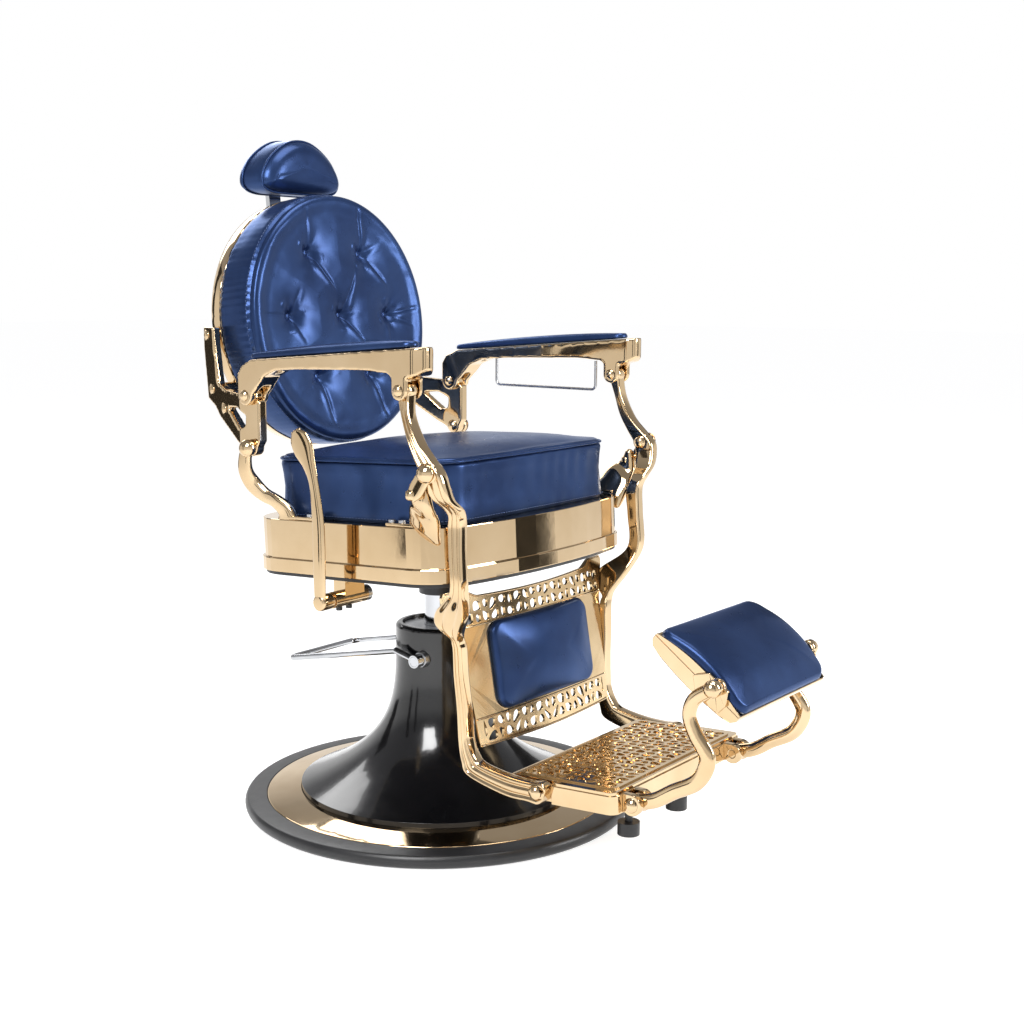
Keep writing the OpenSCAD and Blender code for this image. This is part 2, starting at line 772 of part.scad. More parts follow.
// Back: outlines as y and z beside the back knuckle
stalk_kink_y = 22;
plate_in_slope = 0.25;
plate_out_slope = 0.28;
bracket_plan = [[stalk_in, -40], [stalk_in, stalk_kink_y], [219, 130], [216, 150], [229, 150], [232, 137],
                [stalk_out, stalk_kink_y], [stalk_out, -40]];
bracket_outline = [[143, 188], [142, 150], [137, 114], [131, 71], [107, 59], [93, 44], [56, 21], [34, 7],
                   [5, -7], [-9, -5], [-20, 10], [-20, 75], [-8, 83], [10, 84], [24, 85], [72, 89],
                   [95, 98], [100, 127], [106, 159], [109, 188]];
bracket_window = [[63, 60], [34, 62], [11, 51], [13, 33], [26, 30]];
stalk_top_r = 13;
back_bolt_places = [[130, 175], [115, 87]];
stop_bolt_place = [75, 58];
back_bolt_r = 5;
back_bolt_head_r = 9;
spacer_r = 10;
spacer_grip = 3;
shell_wall = 3;
shell_proud = 4;
shell_r = back_r + shell_proud;

module back_bracket_left() {
    y = back_pin_y;
    z = back_pin_z;
    color(gold) difference() {
        intersection() {
            translate([0, y, 0]) linear_extrude(deep) polygon(bracket_plan);
            union() {
                plate_yz(0, skirt_half * 2) translate([y, z]) difference() {
                    polygon(bracket_outline);
                    polygon(bracket_window);
                }
                pin_x(y, z, 0, skirt_half * 2, ball_r);
                pin_x(arm_rear_y, arm_rear_z, 0, skirt_half * 2, stalk_top_r);
            }
        }
        pin_x(y, z, 0, deep, pin_r + run);
        pin_x(arm_rear_y, arm_rear_z, 0, deep, pin_r + run);
        for (p = back_bolt_places) pin_x(y + p[0], z + p[1], 0, deep, back_bolt_r);
        pin_x(y + stop_bolt_place[0], z + stop_bolt_place[1], 0, deep, back_bolt_r);
    }
}

module back_bracket_right() { right_side() back_bracket_left(); }

// Where a back bracket's faces are at y
function plate_in(y) = stalk_in - (y - stalk_kink_y) * plate_in_slope;
function plate_out(y) = stalk_out - (y - stalk_kink_y) * plate_out_slope;

// Bolts through the bracket, with the spacers that stand between it and the shell
module back_bolts() {
    all_places = concat(back_bolt_places, [stop_bolt_place]);
    sunk = back_bolt_head_r * plate_out_slope;
    color(gold) both() {
        for (p = all_places) pin_x(back_pin_y + p[0], back_pin_z + p[1], plate_in(p[0]) - spacer_grip,
            plate_out(p[0]) + over, back_bolt_r);
        difference() {
            union() {
                for (p = back_bolt_places) pin_x(back_pin_y + p[0], back_pin_z + p[1],
                    shell_r / 2, plate_out(p[0]) - sunk, spacer_r);
                for (p = all_places)
                    dome_x(plate_out(p[0]) - sunk, back_pin_y + p[0], back_pin_z + p[1], back_bolt_head_r, 1);
            }
            translate([0, back_pin_y, 0]) linear_extrude(deep) polygon(bracket_plan);
            on_back() turned_back() translate([0, 0, -over])
                cylinder(r = shell_r + gap, h = deep, $fn = fine);
        }
    }
}

// Back frame: the middle of the front seam, y backwards, z up along the back
module on_back() {
    translate([0, back_y, back_z]) rotate([-back_tilt, 0, 0]) children();
}

// Turns a part drawn up the z axis to point backwards
module turned_back() {
    rotate([-90, 0, 0]) children();
}

shell_low = back_band;
shell_high = back_band + shell_d;
dish = 8;
// Shares of the shell's radius, of its depth down from its rear and of its dish
shell_shares = [[0, 0, 1], [0.4, 0, 0.9], [0.7, 0, 0.6], [0.9, 0, 0.1], [0.955, 0.08, 0], [0.985, 0.3, 0]];
shell_profile = concat([for (s = shell_shares)
    [s[0] * shell_r, shell_high - s[1] * shell_d + s[2] * dish]], [[shell_r, shell_low + gap]]);

module back_shell() {
    t = shell_wall;
    inner = [for (p = shell_profile) [max(p[0] - t, 0), p[1] - t]];
    color(gold) on_back() turned_back() rotate_extrude($fn = fine)
        polygon(concat(shell_profile, [[shell_r - t, shell_low + gap]], reversed(inner)));
}

board_share = 0.93;
module back_board() {
    color(wood) on_back() turned_back() translate([0, 0, shell_low + gap])
        cylinder(r = shell_r * board_share, h = board_t, $fn = fine);
}

// Buttons on the back, as shares of its radius
button_shares = [[-0.31, 0.54], [0.31, 0.54], [-0.575, 0.033], [0, 0.033], [0.575, 0.033], [-0.31, -0.457],
                 [0.31, -0.457]];
tuft_spread = 24;
// Scale and height shares of the back cushion's rings, from its rear to its rolled rim
back_side_shares = [[0.8, 0], [0.985, 0], [1.012, 0.06], [1.008, 0.3], [0.995, 0.7], [1, 0.94], [0.998, 1]];
back_rim_shares = [[0.982, 0.25], [0.95, 0.45], [0.9, 0.56], [0.84, 0.5], [0.77, 0.3], [0.7, 0.12],
            [0.62, 0.02],
            [0.54, 0], [0.46, 0], [0.38, 0], [0.3, 0], [0.2, 0], [0.1, 0]];
back_sink = 6;

// Depth of the tufts at a point of the back
function tufts(x, y) = max([for (b = button_shares)
    tuft_depth * exp(-(pow(x - b[0] * back_r, 2) + pow(y - b[1] * back_r, 2))
        / (2 * tuft_spread * tuft_spread))]);
function back_face(x, y, s) = back_band + back_crown * s - back_sink * (s < 0.2 ? 1 : 0) - tufts(x, y);

module back_cushion() {
    circle_points = [for (i = [0:55]) back_r * [cos(360 * i / 56), sin(360 * i / 56)]];
    sides = [for (s = back_side_shares) [for (p = circle_points)
        [p[0] * s[0], p[1] * s[0], back_band * s[1]]]];
    rim = [for (s = back_rim_shares) [for (p = circle_points)
        [p[0] * s[0], p[1] * s[0], back_face(p[0] * s[0], p[1] * s[0], s[1])]]];
    color(navy) on_back() translate([0, back_band, 0]) rotate([90, 0, 0])
        soft_form(concat(sides, rim), [0, 0, 0], [0, 0, back_face(0, 0, 0)]);
}

button_r = 9;
module back_buttons() {
    color(navy) on_back() translate([0, back_band, 0]) rotate([90, 0, 0]) for (b = button_shares) {
        x = b[0] * back_r;
        y = b[1] * back_r;
        translate([x, y, back_face(x, y, 0) + over]) intersection() {
            translate([0, 0, -button_r * 0.8]) sphere(r = button_r * 1.4, $fn = medium);
            translate([0, 0, -over]) cylinder(r = button_r, h = button_r, $fn = medium);
        }
    }
}

// Headrest socket, stem and pad
socket_low = 120;
socket_h = 65;
socket_half = 22;
stem_half = 14;
stem_t = 9;
stem_d = 135.5;
stem_low = 100;
stem_eye_z = 268;
stem_eye_r = 8;
knob_r = 13;
knob_l = 20;
socket_back = stem_d + stem_t / 2 + 8;

module headrest_socket() {
    color(gold) on_back() difference() {
        translate([-socket_half, shell_high - dish, socket_low])
            cube([socket_half * 2, socket_back - shell_high + dish, socket_h]);
        translate([-stem_half - run, stem_d - stem_t / 2 - run, 0])
            cube([stem_half * 2 + run * 2, stem_t + run * 2, deep]);
        turned_back() rotate_extrude($fn = fine) polygon(concat([[0, 0]],
            [for (p = shell_profile) [p[0], p[1] + gap]], [[shell_r, 0]]));
        translate([0, stem_d, socket_low + socket_h / 2]) turned_back()
            cylinder(r = pin_r, h = deep, $fn = medium);
    }
}

module headrest_knob() {
    color(black) on_back()
        translate([0, stem_d + stem_t / 2 + run, socket_low + socket_h / 2]) turned_back() {
        cylinder(r = pin_r, h = socket_back - stem_d, $fn = medium);
        translate([0, 0, socket_back - stem_d - stem_t / 2 + gap])
            cylinder(r = knob_r, h = knob_l, $fn = medium);
    }
}

module headrest_stem() {
    color(steel) on_back() difference() {
        union() {
            translate([-stem_half, stem_d - stem_t / 2, stem_low])
                cube([stem_half * 2, stem_t, stem_eye_z - stem_low]);
            pin_x(stem_d, stem_eye_z, -stem_half, stem_half, stem_eye_r);
        }
        pin_x(stem_d, stem_eye_z, -stem_half - over, stem_half + over, pin_r + run);
    }
}

head_low_z = 1027;
eye_y = back_y + stem_d * cos(back_tilt) + stem_eye_z * sin(back_tilt);
eye_z = back_z - stem_d * sin(back_tilt) + stem_eye_z * cos(back_tilt);
mount_t = 3.4;
head_mid_y = eye_y - stem_eye_r - mount_t - gap * 3 - head_d / 2;
head_side_shares = [[0.6, 0], [0.86, 0.03], [0.96, 0.14], [1, 0.38], [1, 0.66], [0.965, 0.84], [0.88, 0.95]];
head_crown_shares = [[0.72, 0.985], [0.5, 1], [0.25, 1]];

// One half of the headrest's outline, wide and flat below, arched above
head_shares = [[0, -1], [0.35, -1], [0.66, -0.99], [0.87, -0.9], [0.97, -0.74], [1, -0.53], [0.975, -0.26],
               [0.9, 0.02], [0.79, 0.3], [0.64, 0.55], [0.46, 0.77], [0.28, 0.92], [0.12, 0.985], [0, 1]];
function head_outline(a, b) = concat([for (q = head_shares) [a * q[0], b * q[1]]],
    [for (q = reversed(head_shares)) if (q[0] > 0) [-a * q[0], b * q[1]]]);

module headrest_pad() {
    p = head_outline(head_half, head_h / 2);
    color(navy) translate([0, head_mid_y + head_d / 2, head_low_z + head_h / 2]) rotate([90, 0, 0])
        soft_form([for (s = concat(head_side_shares, head_crown_shares))
            [for (q = p) [q[0] * s[0], q[1] * s[0], head_d * s[1]]]], [0, 0, 0], [0, 0, head_d]);
}

mount_half = 30;
mount_h = 44;
ear_t = 5;
module headrest_mount() {
    y = head_mid_y + head_d / 2;
    color(steel) {
        difference() {
            union() {
                translate([-mount_half, y + gap, eye_z - mount_h / 2])
                    cube([mount_half * 2, mount_t, mount_h]);
                both() {
                    pin_x(eye_y, eye_z, stem_half + gap, stem_half + gap + ear_t, stem_eye_r);
                    translate([stem_half + gap, y + gap + mount_t / 2, eye_z - stem_eye_r])
                        cube([ear_t, eye_y - y - gap - mount_t / 2, stem_eye_r * 2]);
                }
            }
            pin_x(eye_y, eye_z, -deep, deep, pin_r);
        }
        pin_x(eye_y, eye_z, -stem_half - gap - ear_t, stem_half + gap + ear_t, pin_r);
    }
}

// Armrests: the outline as y and z beside the rear pin
function arm_x(y) = arm_rear_x + (arm_front_x - arm_rear_x) * (arm_rear_y - y) / (arm_rear_y + arm_front_y);
arm_ear_r = 16.5;
front_ear_r = 15;
arm_nose_y = -214;
arm_tail_y = 155;
arm_nose_d = 18;
arm_front = [[-384, 79], [-386, 67], [-385, 55], [-374, 46], [-361, 43]];
arm_ear_top = 42;
arm_under = [[-318, 47], [-274, 50], [-130, 46], [-73, 42], [-46, 31], [-27, 10]];
slot_rear = stalk_out - stalk_in + gap * 3;
ear_room = 2.5;
slot_front = leg_t + ear_room * 2;
ear_slot_top = 15.5;
arm_yaw = atan((arm_front_x - arm_rear_x) / (arm_rear_y + arm_front_y));
arm_pitch = atan(arm_drop / (arm_tail_y - arm_nose_y));
arm_shift_y = -arm_front_y - arm_rear_y;
arm_shift_z = arm_front_z - arm_rear_z;

module arm_shape() {
    translate([arm_rear_y, arm_rear_z]) polygon(concat(
        [[arm_tail_y - arm_rear_y, arm_nose_z - arm_drop - arm_rear_z],
         [arm_nose_y - arm_rear_y, arm_nose_z - arm_rear_z]],
        arm_front, [[arm_shift_y - front_ear_r, arm_ear_top]],
        arc([arm_shift_y, arm_shift_z], front_ear_r, 180, 360, 12),
        [[arm_shift_y + front_ear_r, arm_ear_top]], arm_under,
        arc([0, 0], arm_ear_r, 180, 360, 12), [[arm_ear_r, arm_ear_r * 2],
            [arm_ear_r * 0.45, arm_ear_r * 2.8]]));
}

module armrest_frame_left() {
    nose = arm_nose_y + arm_nose_d;
    high = arm_tail_y + arm_half * 3;
    color(gold) difference() {
        intersection() {
            plate_yz(0, knee_x * 2) arm_shape();
            linear_extrude(deep)
                polygon(concat([[arm_x(high) - arm_half, high], [arm_x(high) + arm_half, high]],
                [for (a = [0:15:180]) [arm_x(nose) + arm_half * cos(a), nose - arm_nose_d * sin(a)]]));
        }
        translate([stalk_in - gap * 1.5, arm_rear_y - arm_ear_r * 2, arm_rear_z - arm_ear_r * 2])
            cube([slot_rear, arm_ear_r * 4, arm_ear_r * 2 + ear_slot_top]);
        translate([arm_front_x - slot_front / 2, -arm_front_y - arm_ear_r * 2, arm_front_z - arm_ear_r * 2])
            cube([slot_front, arm_ear_r * 4, arm_ear_r * 2 + ear_slot_top]);
        pin_x(arm_rear_y, arm_rear_z, 0, deep, pin_r);
        pin_x(-arm_front_y, arm_front_z, 0, deep, pin_r);
        arm_side_screws(pad_screw_r, over);
    }
}

module armrest_frame_right() { right_side() armrest_frame_left(); }

pad_rear_y = 166;
pad_front_y = -190;
arm_pad_half = 16;
arm_pad_corner = 15;
module armrest_pad_left() {
    half = (pad_rear_y - pad_front_y) / 2;
    mid_y = (pad_rear_y + pad_front_y) / 2;
    mid_z = arm_nose_z - (mid_y - arm_nose_y) * tan(arm_pitch);
    color(navy) translate([arm_x(mid_y), mid_y, mid_z + gap]) rotate([0, 0, arm_yaw])
        rotate([-arm_pitch, 0, 0])
        cushion(round_rect(arm_pad_half, half, arm_pad_corner, 8), arm_pad_h * 0.62, arm_pad_h * 0.38);
}

module armrest_pad_right() { right_side() armrest_pad_left(); }

arm_pin_head_r = pin_head_r * 0.8;
arm_head_room = 0.9;
module arm_pin(x, y, z) {
    pin_x(y, z, x - arm_half - over, x + arm_half + over, pin_r);
    dome_x(x + arm_half + arm_head_room, y, z, arm_pin_head_r, 1);
    dome_x(x - arm_half - arm_head_room, y, z, arm_pin_head_r, -1);
}

// Screws that come up through the frame into each pad
pad_screw_r = 4;
pad_screw_l = 20;
pad_screws = [[108, 38], [-116, 50]];
module arm_side_screws(r, e) {
    for (p = pad_screws) translate([arm_x(p[0]), p[0], arm_rear_z + p[1] - e])
        cylinder(r = r, h = pad_screw_l + e, $fn = medium);
}

// The two hinge pins of an armrest and its pad's screws
module arm_pins_left() {
    color(gold) {
        arm_pin(arm_rear_x, arm_rear_y, arm_rear_z);
        arm_pin(arm_front_x, -arm_front_y, arm_front_z);
        arm_side_screws(pad_screw_r, 0);
    }
}

module arm_pins_right() { right_side() arm_pins_left(); }

// Towel wire under the left armrest
towel_r = 2.5;
towel_x = 262;
towel_rear_y = 79;
towel_front_y = -137;
towel_z = 696;
towel_bend = 8;
module towel_bar() {
    color(steel) translate([towel_x, 0, towel_z]) {
        for (y = [towel_rear_y, towel_front_y]) translate([0, y, towel_bend])
            cylinder(r = towel_r, h = arm_rear_z + arm_ear_top + over * 2 - towel_z - towel_bend,
                $fn = medium);
        pin_y(towel_front_y + towel_bend, towel_rear_y - towel_bend, towel_r);
        translate([0, towel_front_y, towel_bend]) rotate([-90, 0, 90]) elbow(towel_bend, towel_r);
        translate([0, towel_rear_y, towel_bend]) rotate([-90, 0, -90]) elbow(towel_bend, towel_r);
    }
}

// Legs: edges as y and z beside the leg knuckle, then the outer face as x and z
leg_front = [[42, 120], [40, 82], [20, 42], [-3, 18], [-21, 0], [-26, -21], [-27, -40], [-27, -55],
             [-23, -75], [-24, -119], [-27, -175], [-15, -215], [6, -250], [11, -267], [10, -278],
             [8, -320], [4, -385], [1, -418], [-10, -440], [-24, -450], [-69, -457], [-111, -458],
             [-143, -449], [-141, -477], [-126, -490]];
leg_rear = [[62, 108], [51, 73], [42, 45], [25, 15], [14, 0], [6, -30], [-3, -62], [1, -85], [-2, -123],
            [-3, -179], [22, -201], [42, -218], [49, -236], [44, -248], [24, -258], [24, -270], [24, -344],
            [20, -422], [15, -452], [2, -473], [-23, -486], [-67, -489], [-120, -490]];
leg_outer = [[-8, 150], [-8, 113], [-4, 82], [-3, 42], [-1, 18], [0, 0], [-4, -21], [-13, -40], [-32, -55],
             [-44, -75], [-43, -119], [-43, -175], [-62, -215], [-81, -262], [-86, -278], [-88, -320],
             [-94, -385], [-94, -418], [-94, -440], [-94, -520]];
leg_play = 2.5;
leg_eye_r = 13;
foot_bolt_pin_r = 5;
foot_bolt_z = foot_z + 1;

module leg_left() {
    y = -leg_pin_y;
    z = leg_pin_z;
    outer = curve([for (p = leg_outer) [knee_x + p[0], leg_pin_z + p[1]]], 3);
    inner = [for (p = outer) [p[0] - leg_t, p[1]]];
    color(gold) difference() {
        intersection() {
            plate_yz(0, knee_x * 2) {
                translate([y, z]) polygon(concat(curve(leg_front, 3), reversed(curve(leg_rear, 3))));
                translate([y, z]) circle(r = leg_knee_r, $fn = medium);
                translate([-arm_front_y, arm_front_z]) circle(r = leg_eye_r, $fn = medium);
            }
            plate_xz(-foot_y * 2, 0) polygon(concat(outer, reversed(inner)));
        }
        pin_x(y, z, 0, deep, pin_r + run);
        pin_x(-arm_front_y, arm_front_z, 0, deep, pin_r + leg_play);
        pin_x(-foot_y, foot_bolt_z, 0, deep, foot_bolt_pin_r);
    }
}

module leg_right() { right_side() leg_left(); }

// Leg panel: local x across, z up along the panel, front towards -y
panel_tilt = 10;
panel_y = -190;
panel_t = 5;
panel_bow = 8;
strip_h = 44;
panel_frame = 9;
module on_panel() {
    translate([0, panel_y, panel_top_z]) rotate([-panel_tilt, 0, 0]) children();
}

panel_r = (panel_half * panel_half + panel_bow * panel_bow) / (2 * panel_bow);
module panel_bend() {
    intersection() {
        children();
        translate([0, panel_r - panel_bow, -deep / 2]) difference() {
            cylinder(r = panel_r, h = deep, $fn = fine * 8);
            translate([0, 0, -over]) cylinder(r = panel_r - panel_t, h = deep + over * 2, $fn = fine * 8);
        }
    }
}

scroll_r = 13;
scroll_step = 34;
panel_wing = 12;
panel_crown = [[panel_half, panel_wing * 0.25], [knee_x * 0.6, panel_wing], [knee_x * 0.75, panel_wing]];
module leg_panel() {
    outline = concat([for (p = panel_crown) p], [[panel_half * 1.25, -panel_h],
        [-panel_half * 1.25, -panel_h]],
        [for (p = reversed(panel_crown)) [-p[0], p[1]]], [[-panel_half * 0.7, 0], [panel_half * 0.7, 0]]);
    color(gold) intersection() {
        on_panel() panel_bend() plate_xz(-panel_r, panel_t * 8) difference() {
            polygon(outline);
            for (i = [-4:4]) {
                translate([i * scroll_step, -strip_h / 2]) circle(r = scroll_r * (i % 2 == 0 ? 1 : 0.7),
                    $fn = medium);
                translate([i * scroll_step, -panel_h + strip_h / 2 - panel_frame / 2])
                    circle(r = scroll_r * (i % 2 == 0 ? 0.7 : 1), $fn = medium);
            }
        }
        plate_xz(-knee_x, 0) polygon(leg_gap_outline());
    }
}

// The space between the legs, as x and z
function leg_gap_side(s) = [for (p = curve(leg_outer, 3)) [s * (knee_x + p[0] - leg_t - gap),
    leg_pin_z + p[1]]];
function leg_gap_outline() = concat(leg_gap_side(1), reversed(leg_gap_side(-1)));

panel_pad_half = 128;
panel_pad_h = 70;
panel_pad_corner = 22;
panel_pad_t = 14;
module leg_panel_pad() {
    color(navy) on_panel() translate([0, -panel_bow - gap, -panel_h / 2]) rotate([90, 0, 0])
        cushion(round_rect(panel_pad_half, panel_pad_h, panel_pad_corner, 8), panel_pad_t, panel_pad_t / 2);
}

// Footrest plate, its middle tilted up to the front
plate_wall = 5;
plate_top = 6;
plate_corner = 14;
lip = 10;
inner_half = foot_x - leg_t - gap;
leg_end_y = 367;
module on_plate() {
    translate([0, -plate_front_y, foot_z + plate_h * 0.68]) rotate([-plate_tilt, 0, 0]) children();
}

function plate_outline(g) = concat(
    arc([plate_half - plate_corner, plate_corner], plate_corner - g, 0, -90, 6),
    arc([plate_corner - plate_half, plate_corner], plate_corner - g, 270, 180, 6),
    [[g - plate_half, plate_front_y - leg_end_y - g], [g - inner_half, plate_front_y - leg_end_y - g],
     [g - inner_half, plate_d - g], [inner_half - g, plate_d - g],
     [inner_half - g, plate_front_y - leg_end_y - g], [plate_half - g, plate_front_y - leg_end_y - g]]);

module footrest_plate() {
    color(gold) difference() {
        on_plate() difference() {
            union() {
                translate([0, 0, -plate_h]) linear_extrude(plate_h - lip / 2) polygon(plate_outline(0));
                translate([0, 0, -lip]) linear_extrude(lip) polygon(plate_outline(lip / 4));
            }
            translate([0, 0, -plate_h - over]) linear_extrude(plate_h + over - plate_top)
                polygon(plate_outline(plate_wall));
        }
        both() pin_x(-foot_y, foot_bolt_z, 0, deep, foot_bolt_pin_r);
    }
}

module footrest_bolts() {
    z = foot_bolt_z;
    color(gold) both() {
        pin_x(-foot_y, z, inner_half - plate_wall * 3, foot_x, foot_bolt_pin_r);
        dome_x(foot_x + gap, -foot_y, z, pin_head_r, 1);
        pin_x(-foot_y, z, inner_half - plate_wall * 3, inner_half - plate_wall - gap, foot_bolt_pin_r * 1.5);
    }
}

feet_x = 71;
feet_y = -428;
feet_r = 17;
feet_h = 20;
feet_z = 55;
stem_r = 6;
module rubber_feet() {
    color(rubber) both() difference() {
        translate([feet_x, feet_y, feet_z]) {
            cylinder(r = feet_r, h = feet_h, $fn = medium);
            cylinder(r = stem_r, h = foot_z + plate_h, $fn = medium);
        }
        on_plate() translate([-deep / 2, -deep / 2, -plate_top]) cube(deep);
    }
}

// Flip pad on two curved arms
pad_lug_t = 5.5;
lug_gap = 0.5;
flip_in = pad_half + pad_lug_t + lug_gap;
flip_t = 18;
flip_boss_r = 13.5;
flip_eye_r = 13;
collar_t = 10;
collar_r = 16;
flip_pin_r = 6;
flip_shares = [[0, 0], [0.25, 0.05], [0.5, 0.15], [0.82, 0.27], [0.95, 0.46], [0.77, 0.64], [0.69, 0.77],
               [0.76, 0.9], [1, 1]];
flip_widths = [26, 25, 25, 26, 27, 24, 22, 22, 22];

module flip_arm_left() {
    dy = flip_y - pad_y;
    dz = pad_z - flip_z;
    color(gold) difference() {
        union() {
            plate_yz(flip_in, flip_in + flip_t) translate([-flip_y, flip_z])
                polygon(band([for (i = [0:len(flip_shares) - 1])
                    [flip_shares[i][0] * dy, flip_shares[i][1] * dz, flip_widths[i]]], 6));
            pin_x(-flip_y, flip_z, flip_in, flip_in + flip_t, flip_boss_r);
            pin_x(-pad_y, pad_z, flip_in, flip_in + flip_t, flip_eye_r);
        }
        pin_x(-flip_y, flip_z, 0, deep, flip_pin_r + run);
        pin_x(-pad_y, pad_z, 0, deep, pin_r + run);
    }
}

module flip_arm_right() { right_side() flip_arm_left(); }

module flip_collars() {
    color(gold) both() difference() {
        for (x = [flip_in - gap - collar_t, flip_in + flip_t + gap]) {
            pin_x(-flip_y, flip_z, x, x + collar_t, collar_r);
            translate([x, -flip_y, flip_z - collar_r * 0.8])
                cube([collar_t, flip_y - plate_front_y + over, collar_r * 1.8]);
        }
        on_plate() translate([-deep / 2, 0, -deep / 2]) cube(deep);
        pin_x(-flip_y, flip_z, 0, deep, flip_pin_r);
    }
}

module flip_hinge_pins() {
    out = flip_in + flip_t + gap + collar_t;
    color(gold) both() {
        pin_x(-flip_y, flip_z, flip_in - gap - collar_t, out, flip_pin_r);
        dome_x(out + gap, -flip_y, flip_z, pin_head_r, 1);
    }
}

// Flip pad frame: local y up along the pad's slope, local z out of its face
pad_mid_y = 574;
pad_mid_z = 338;
module on_pad() {
    translate([0, -pad_mid_y, pad_mid_z]) rotate([pad_slope, 0, 0]) children();
}

pad_shares = [[-0.5, 0], [0.5, 0], [0.5, -0.05], [0.46, -0.1], [0.36, -0.125], [0.18, -0.14], [0, -0.145],
              [-0.18, -0.14], [-0.36, -0.125], [-0.46, -0.1], [-0.5, -0.05]];
module flip_pad_shell() {
    color(gold) difference() {
        union() {
            on_pad() plate_yz(-pad_half, pad_half) polygon([for (p = pad_shares) pad_len * p]);
            both() plate_yz(pad_half - over, pad_half + pad_lug_t) {
                translate([-pad_y, pad_z]) circle(r = flip_eye_r, $fn = medium);
                translate([-pad_mid_y, pad_mid_z]) rotate(pad_slope)
                    polygon([for (p = [[-0.3, 0.12], [-0.08, 0.12], [0.02, 0], [-0.08, -0.1], [-0.34, -0.1],
                        [-0.36, 0]])
                        pad_len * p]);
            }
        }
        pin_x(-pad_y, pad_z, -deep, deep, pin_r);
        on_pad() translate([-pad_half, -pad_len, 0]) cube([pad_half * 2, pad_len * 2, pad_len]);
    }
}

pad_cushion_t = 20;
module flip_pad() {
    color(navy) on_pad() translate([0, 0, gap])
        cushion(round_rect(pad_half - gap, pad_len / 2, pad_corner, 8), pad_cushion_t, pad_cushion_t * 0.6);
}
pad_corner = 26;

module flip_pivot_bolts() {
    color(gold) both() {
        pin_x(-pad_y, pad_z, pad_half + gap, flip_in + flip_t + gap, pin_r);
        dome_x(flip_in + flip_t + gap, -pad_y, pad_z, pin_head_r, 1);
    }
}

floor_ring();
base_plate();
trim_ring();
bell_cover();
pump_cylinder();
column_cap();
pedal_bushes();
piston();
pedal_shaft();
pedal_loop();
swivel_hub();
seat_underframe();
hub_bolts();
skirt_band();
seat_board();
seat_cushion();
front_bracket_left();
front_bracket_right();
rear_bracket_left();
rear_bracket_right();
bracket_bolts();
knuckle_pins();
shaft_bearings();
recline_lever();
lever_shaft();
lever_set_bolts();
back_bracket_left();
back_bracket_right();
back_shell();
back_board();
back_cushion();
back_buttons();
back_bolts();
headrest_socket();
headrest_knob();
headrest_stem();
headrest_mount();
headrest_pad();
armrest_frame_left();
armrest_frame_right();
armrest_pad_left();
armrest_pad_right();
arm_pins_left();
arm_pins_right();
towel_bar();
leg_left();
leg_right();
leg_panel();
leg_panel_pad();
footrest_plate();
footrest_bolts();
rubber_feet();
flip_collars();
flip_arm_left();
flip_arm_right();
flip_hinge_pins();
flip_pad_shell();
flip_pad();
flip_pivot_bolts();
recline_lock();
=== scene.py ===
import json
import math
import bmesh
import bpy
import numpy as np
from mathutils import Matrix, Vector, geometry


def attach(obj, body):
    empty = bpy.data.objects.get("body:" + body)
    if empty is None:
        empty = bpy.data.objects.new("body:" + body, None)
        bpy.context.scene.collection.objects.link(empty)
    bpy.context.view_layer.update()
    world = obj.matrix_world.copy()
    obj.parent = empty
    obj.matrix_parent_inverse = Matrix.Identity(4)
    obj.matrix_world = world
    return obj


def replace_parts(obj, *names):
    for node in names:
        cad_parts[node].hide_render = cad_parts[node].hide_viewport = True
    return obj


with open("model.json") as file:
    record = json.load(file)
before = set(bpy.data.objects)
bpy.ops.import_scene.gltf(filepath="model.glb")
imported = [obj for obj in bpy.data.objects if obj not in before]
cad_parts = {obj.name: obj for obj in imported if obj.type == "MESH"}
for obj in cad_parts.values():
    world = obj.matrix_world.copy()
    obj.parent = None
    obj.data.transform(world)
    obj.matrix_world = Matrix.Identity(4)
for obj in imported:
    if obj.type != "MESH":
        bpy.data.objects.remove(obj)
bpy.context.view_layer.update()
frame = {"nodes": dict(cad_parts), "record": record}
nodes = frame["nodes"]
MM = 0.001
SIDES = (("left", 1), ("right", -1))


# Meshes

def added(name, data):
    obj = bpy.data.objects.new(name, data)
    bpy.context.scene.collection.objects.link(obj)
    return obj


def make(name, verts, faces, mat, body, smooth=True, levels=0):
    mesh = bpy.data.meshes.new(name)
    mesh.from_pydata([tuple(float(c) for c in v) for v in verts], [],
                     [tuple(int(i) for i in f) for f in faces])
    mesh.validate()
    mesh.update()
    if smooth:
        mesh.polygons.foreach_set("use_smooth", [True] * len(mesh.polygons))
    obj = added(name, mesh)
    obj.data.materials.append(mat)
    if levels:
        sub = obj.modifiers.new("sub", "SUBSURF")
        sub.levels = sub.render_levels = levels
    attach(obj, body)
    return obj


def recalc(obj):
    bm = bmesh.new()
    bm.from_mesh(obj.data)
    bmesh.ops.recalc_face_normals(bm, faces=bm.faces)
    bm.to_mesh(obj.data)
    bm.free()


def bevel(obj, width, segments, degrees):
    """Eases the edges that turn by more than that angle."""
    bev = obj.modifiers.new("bevel", "BEVEL")
    bev.width = width
    bev.segments = segments
    bev.limit_method = "ANGLE"
    bev.angle_limit = math.radians(degrees)


def turns(n):
    """Angles of n even steps round a circle."""
    return 2 * math.pi * np.arange(n) / n


def run_lengths(p):
    """Distance along a line of points, counted from its first."""
    return np.concatenate([[0], np.cumsum(np.linalg.norm(np.diff(p, axis=0), axis=1))])


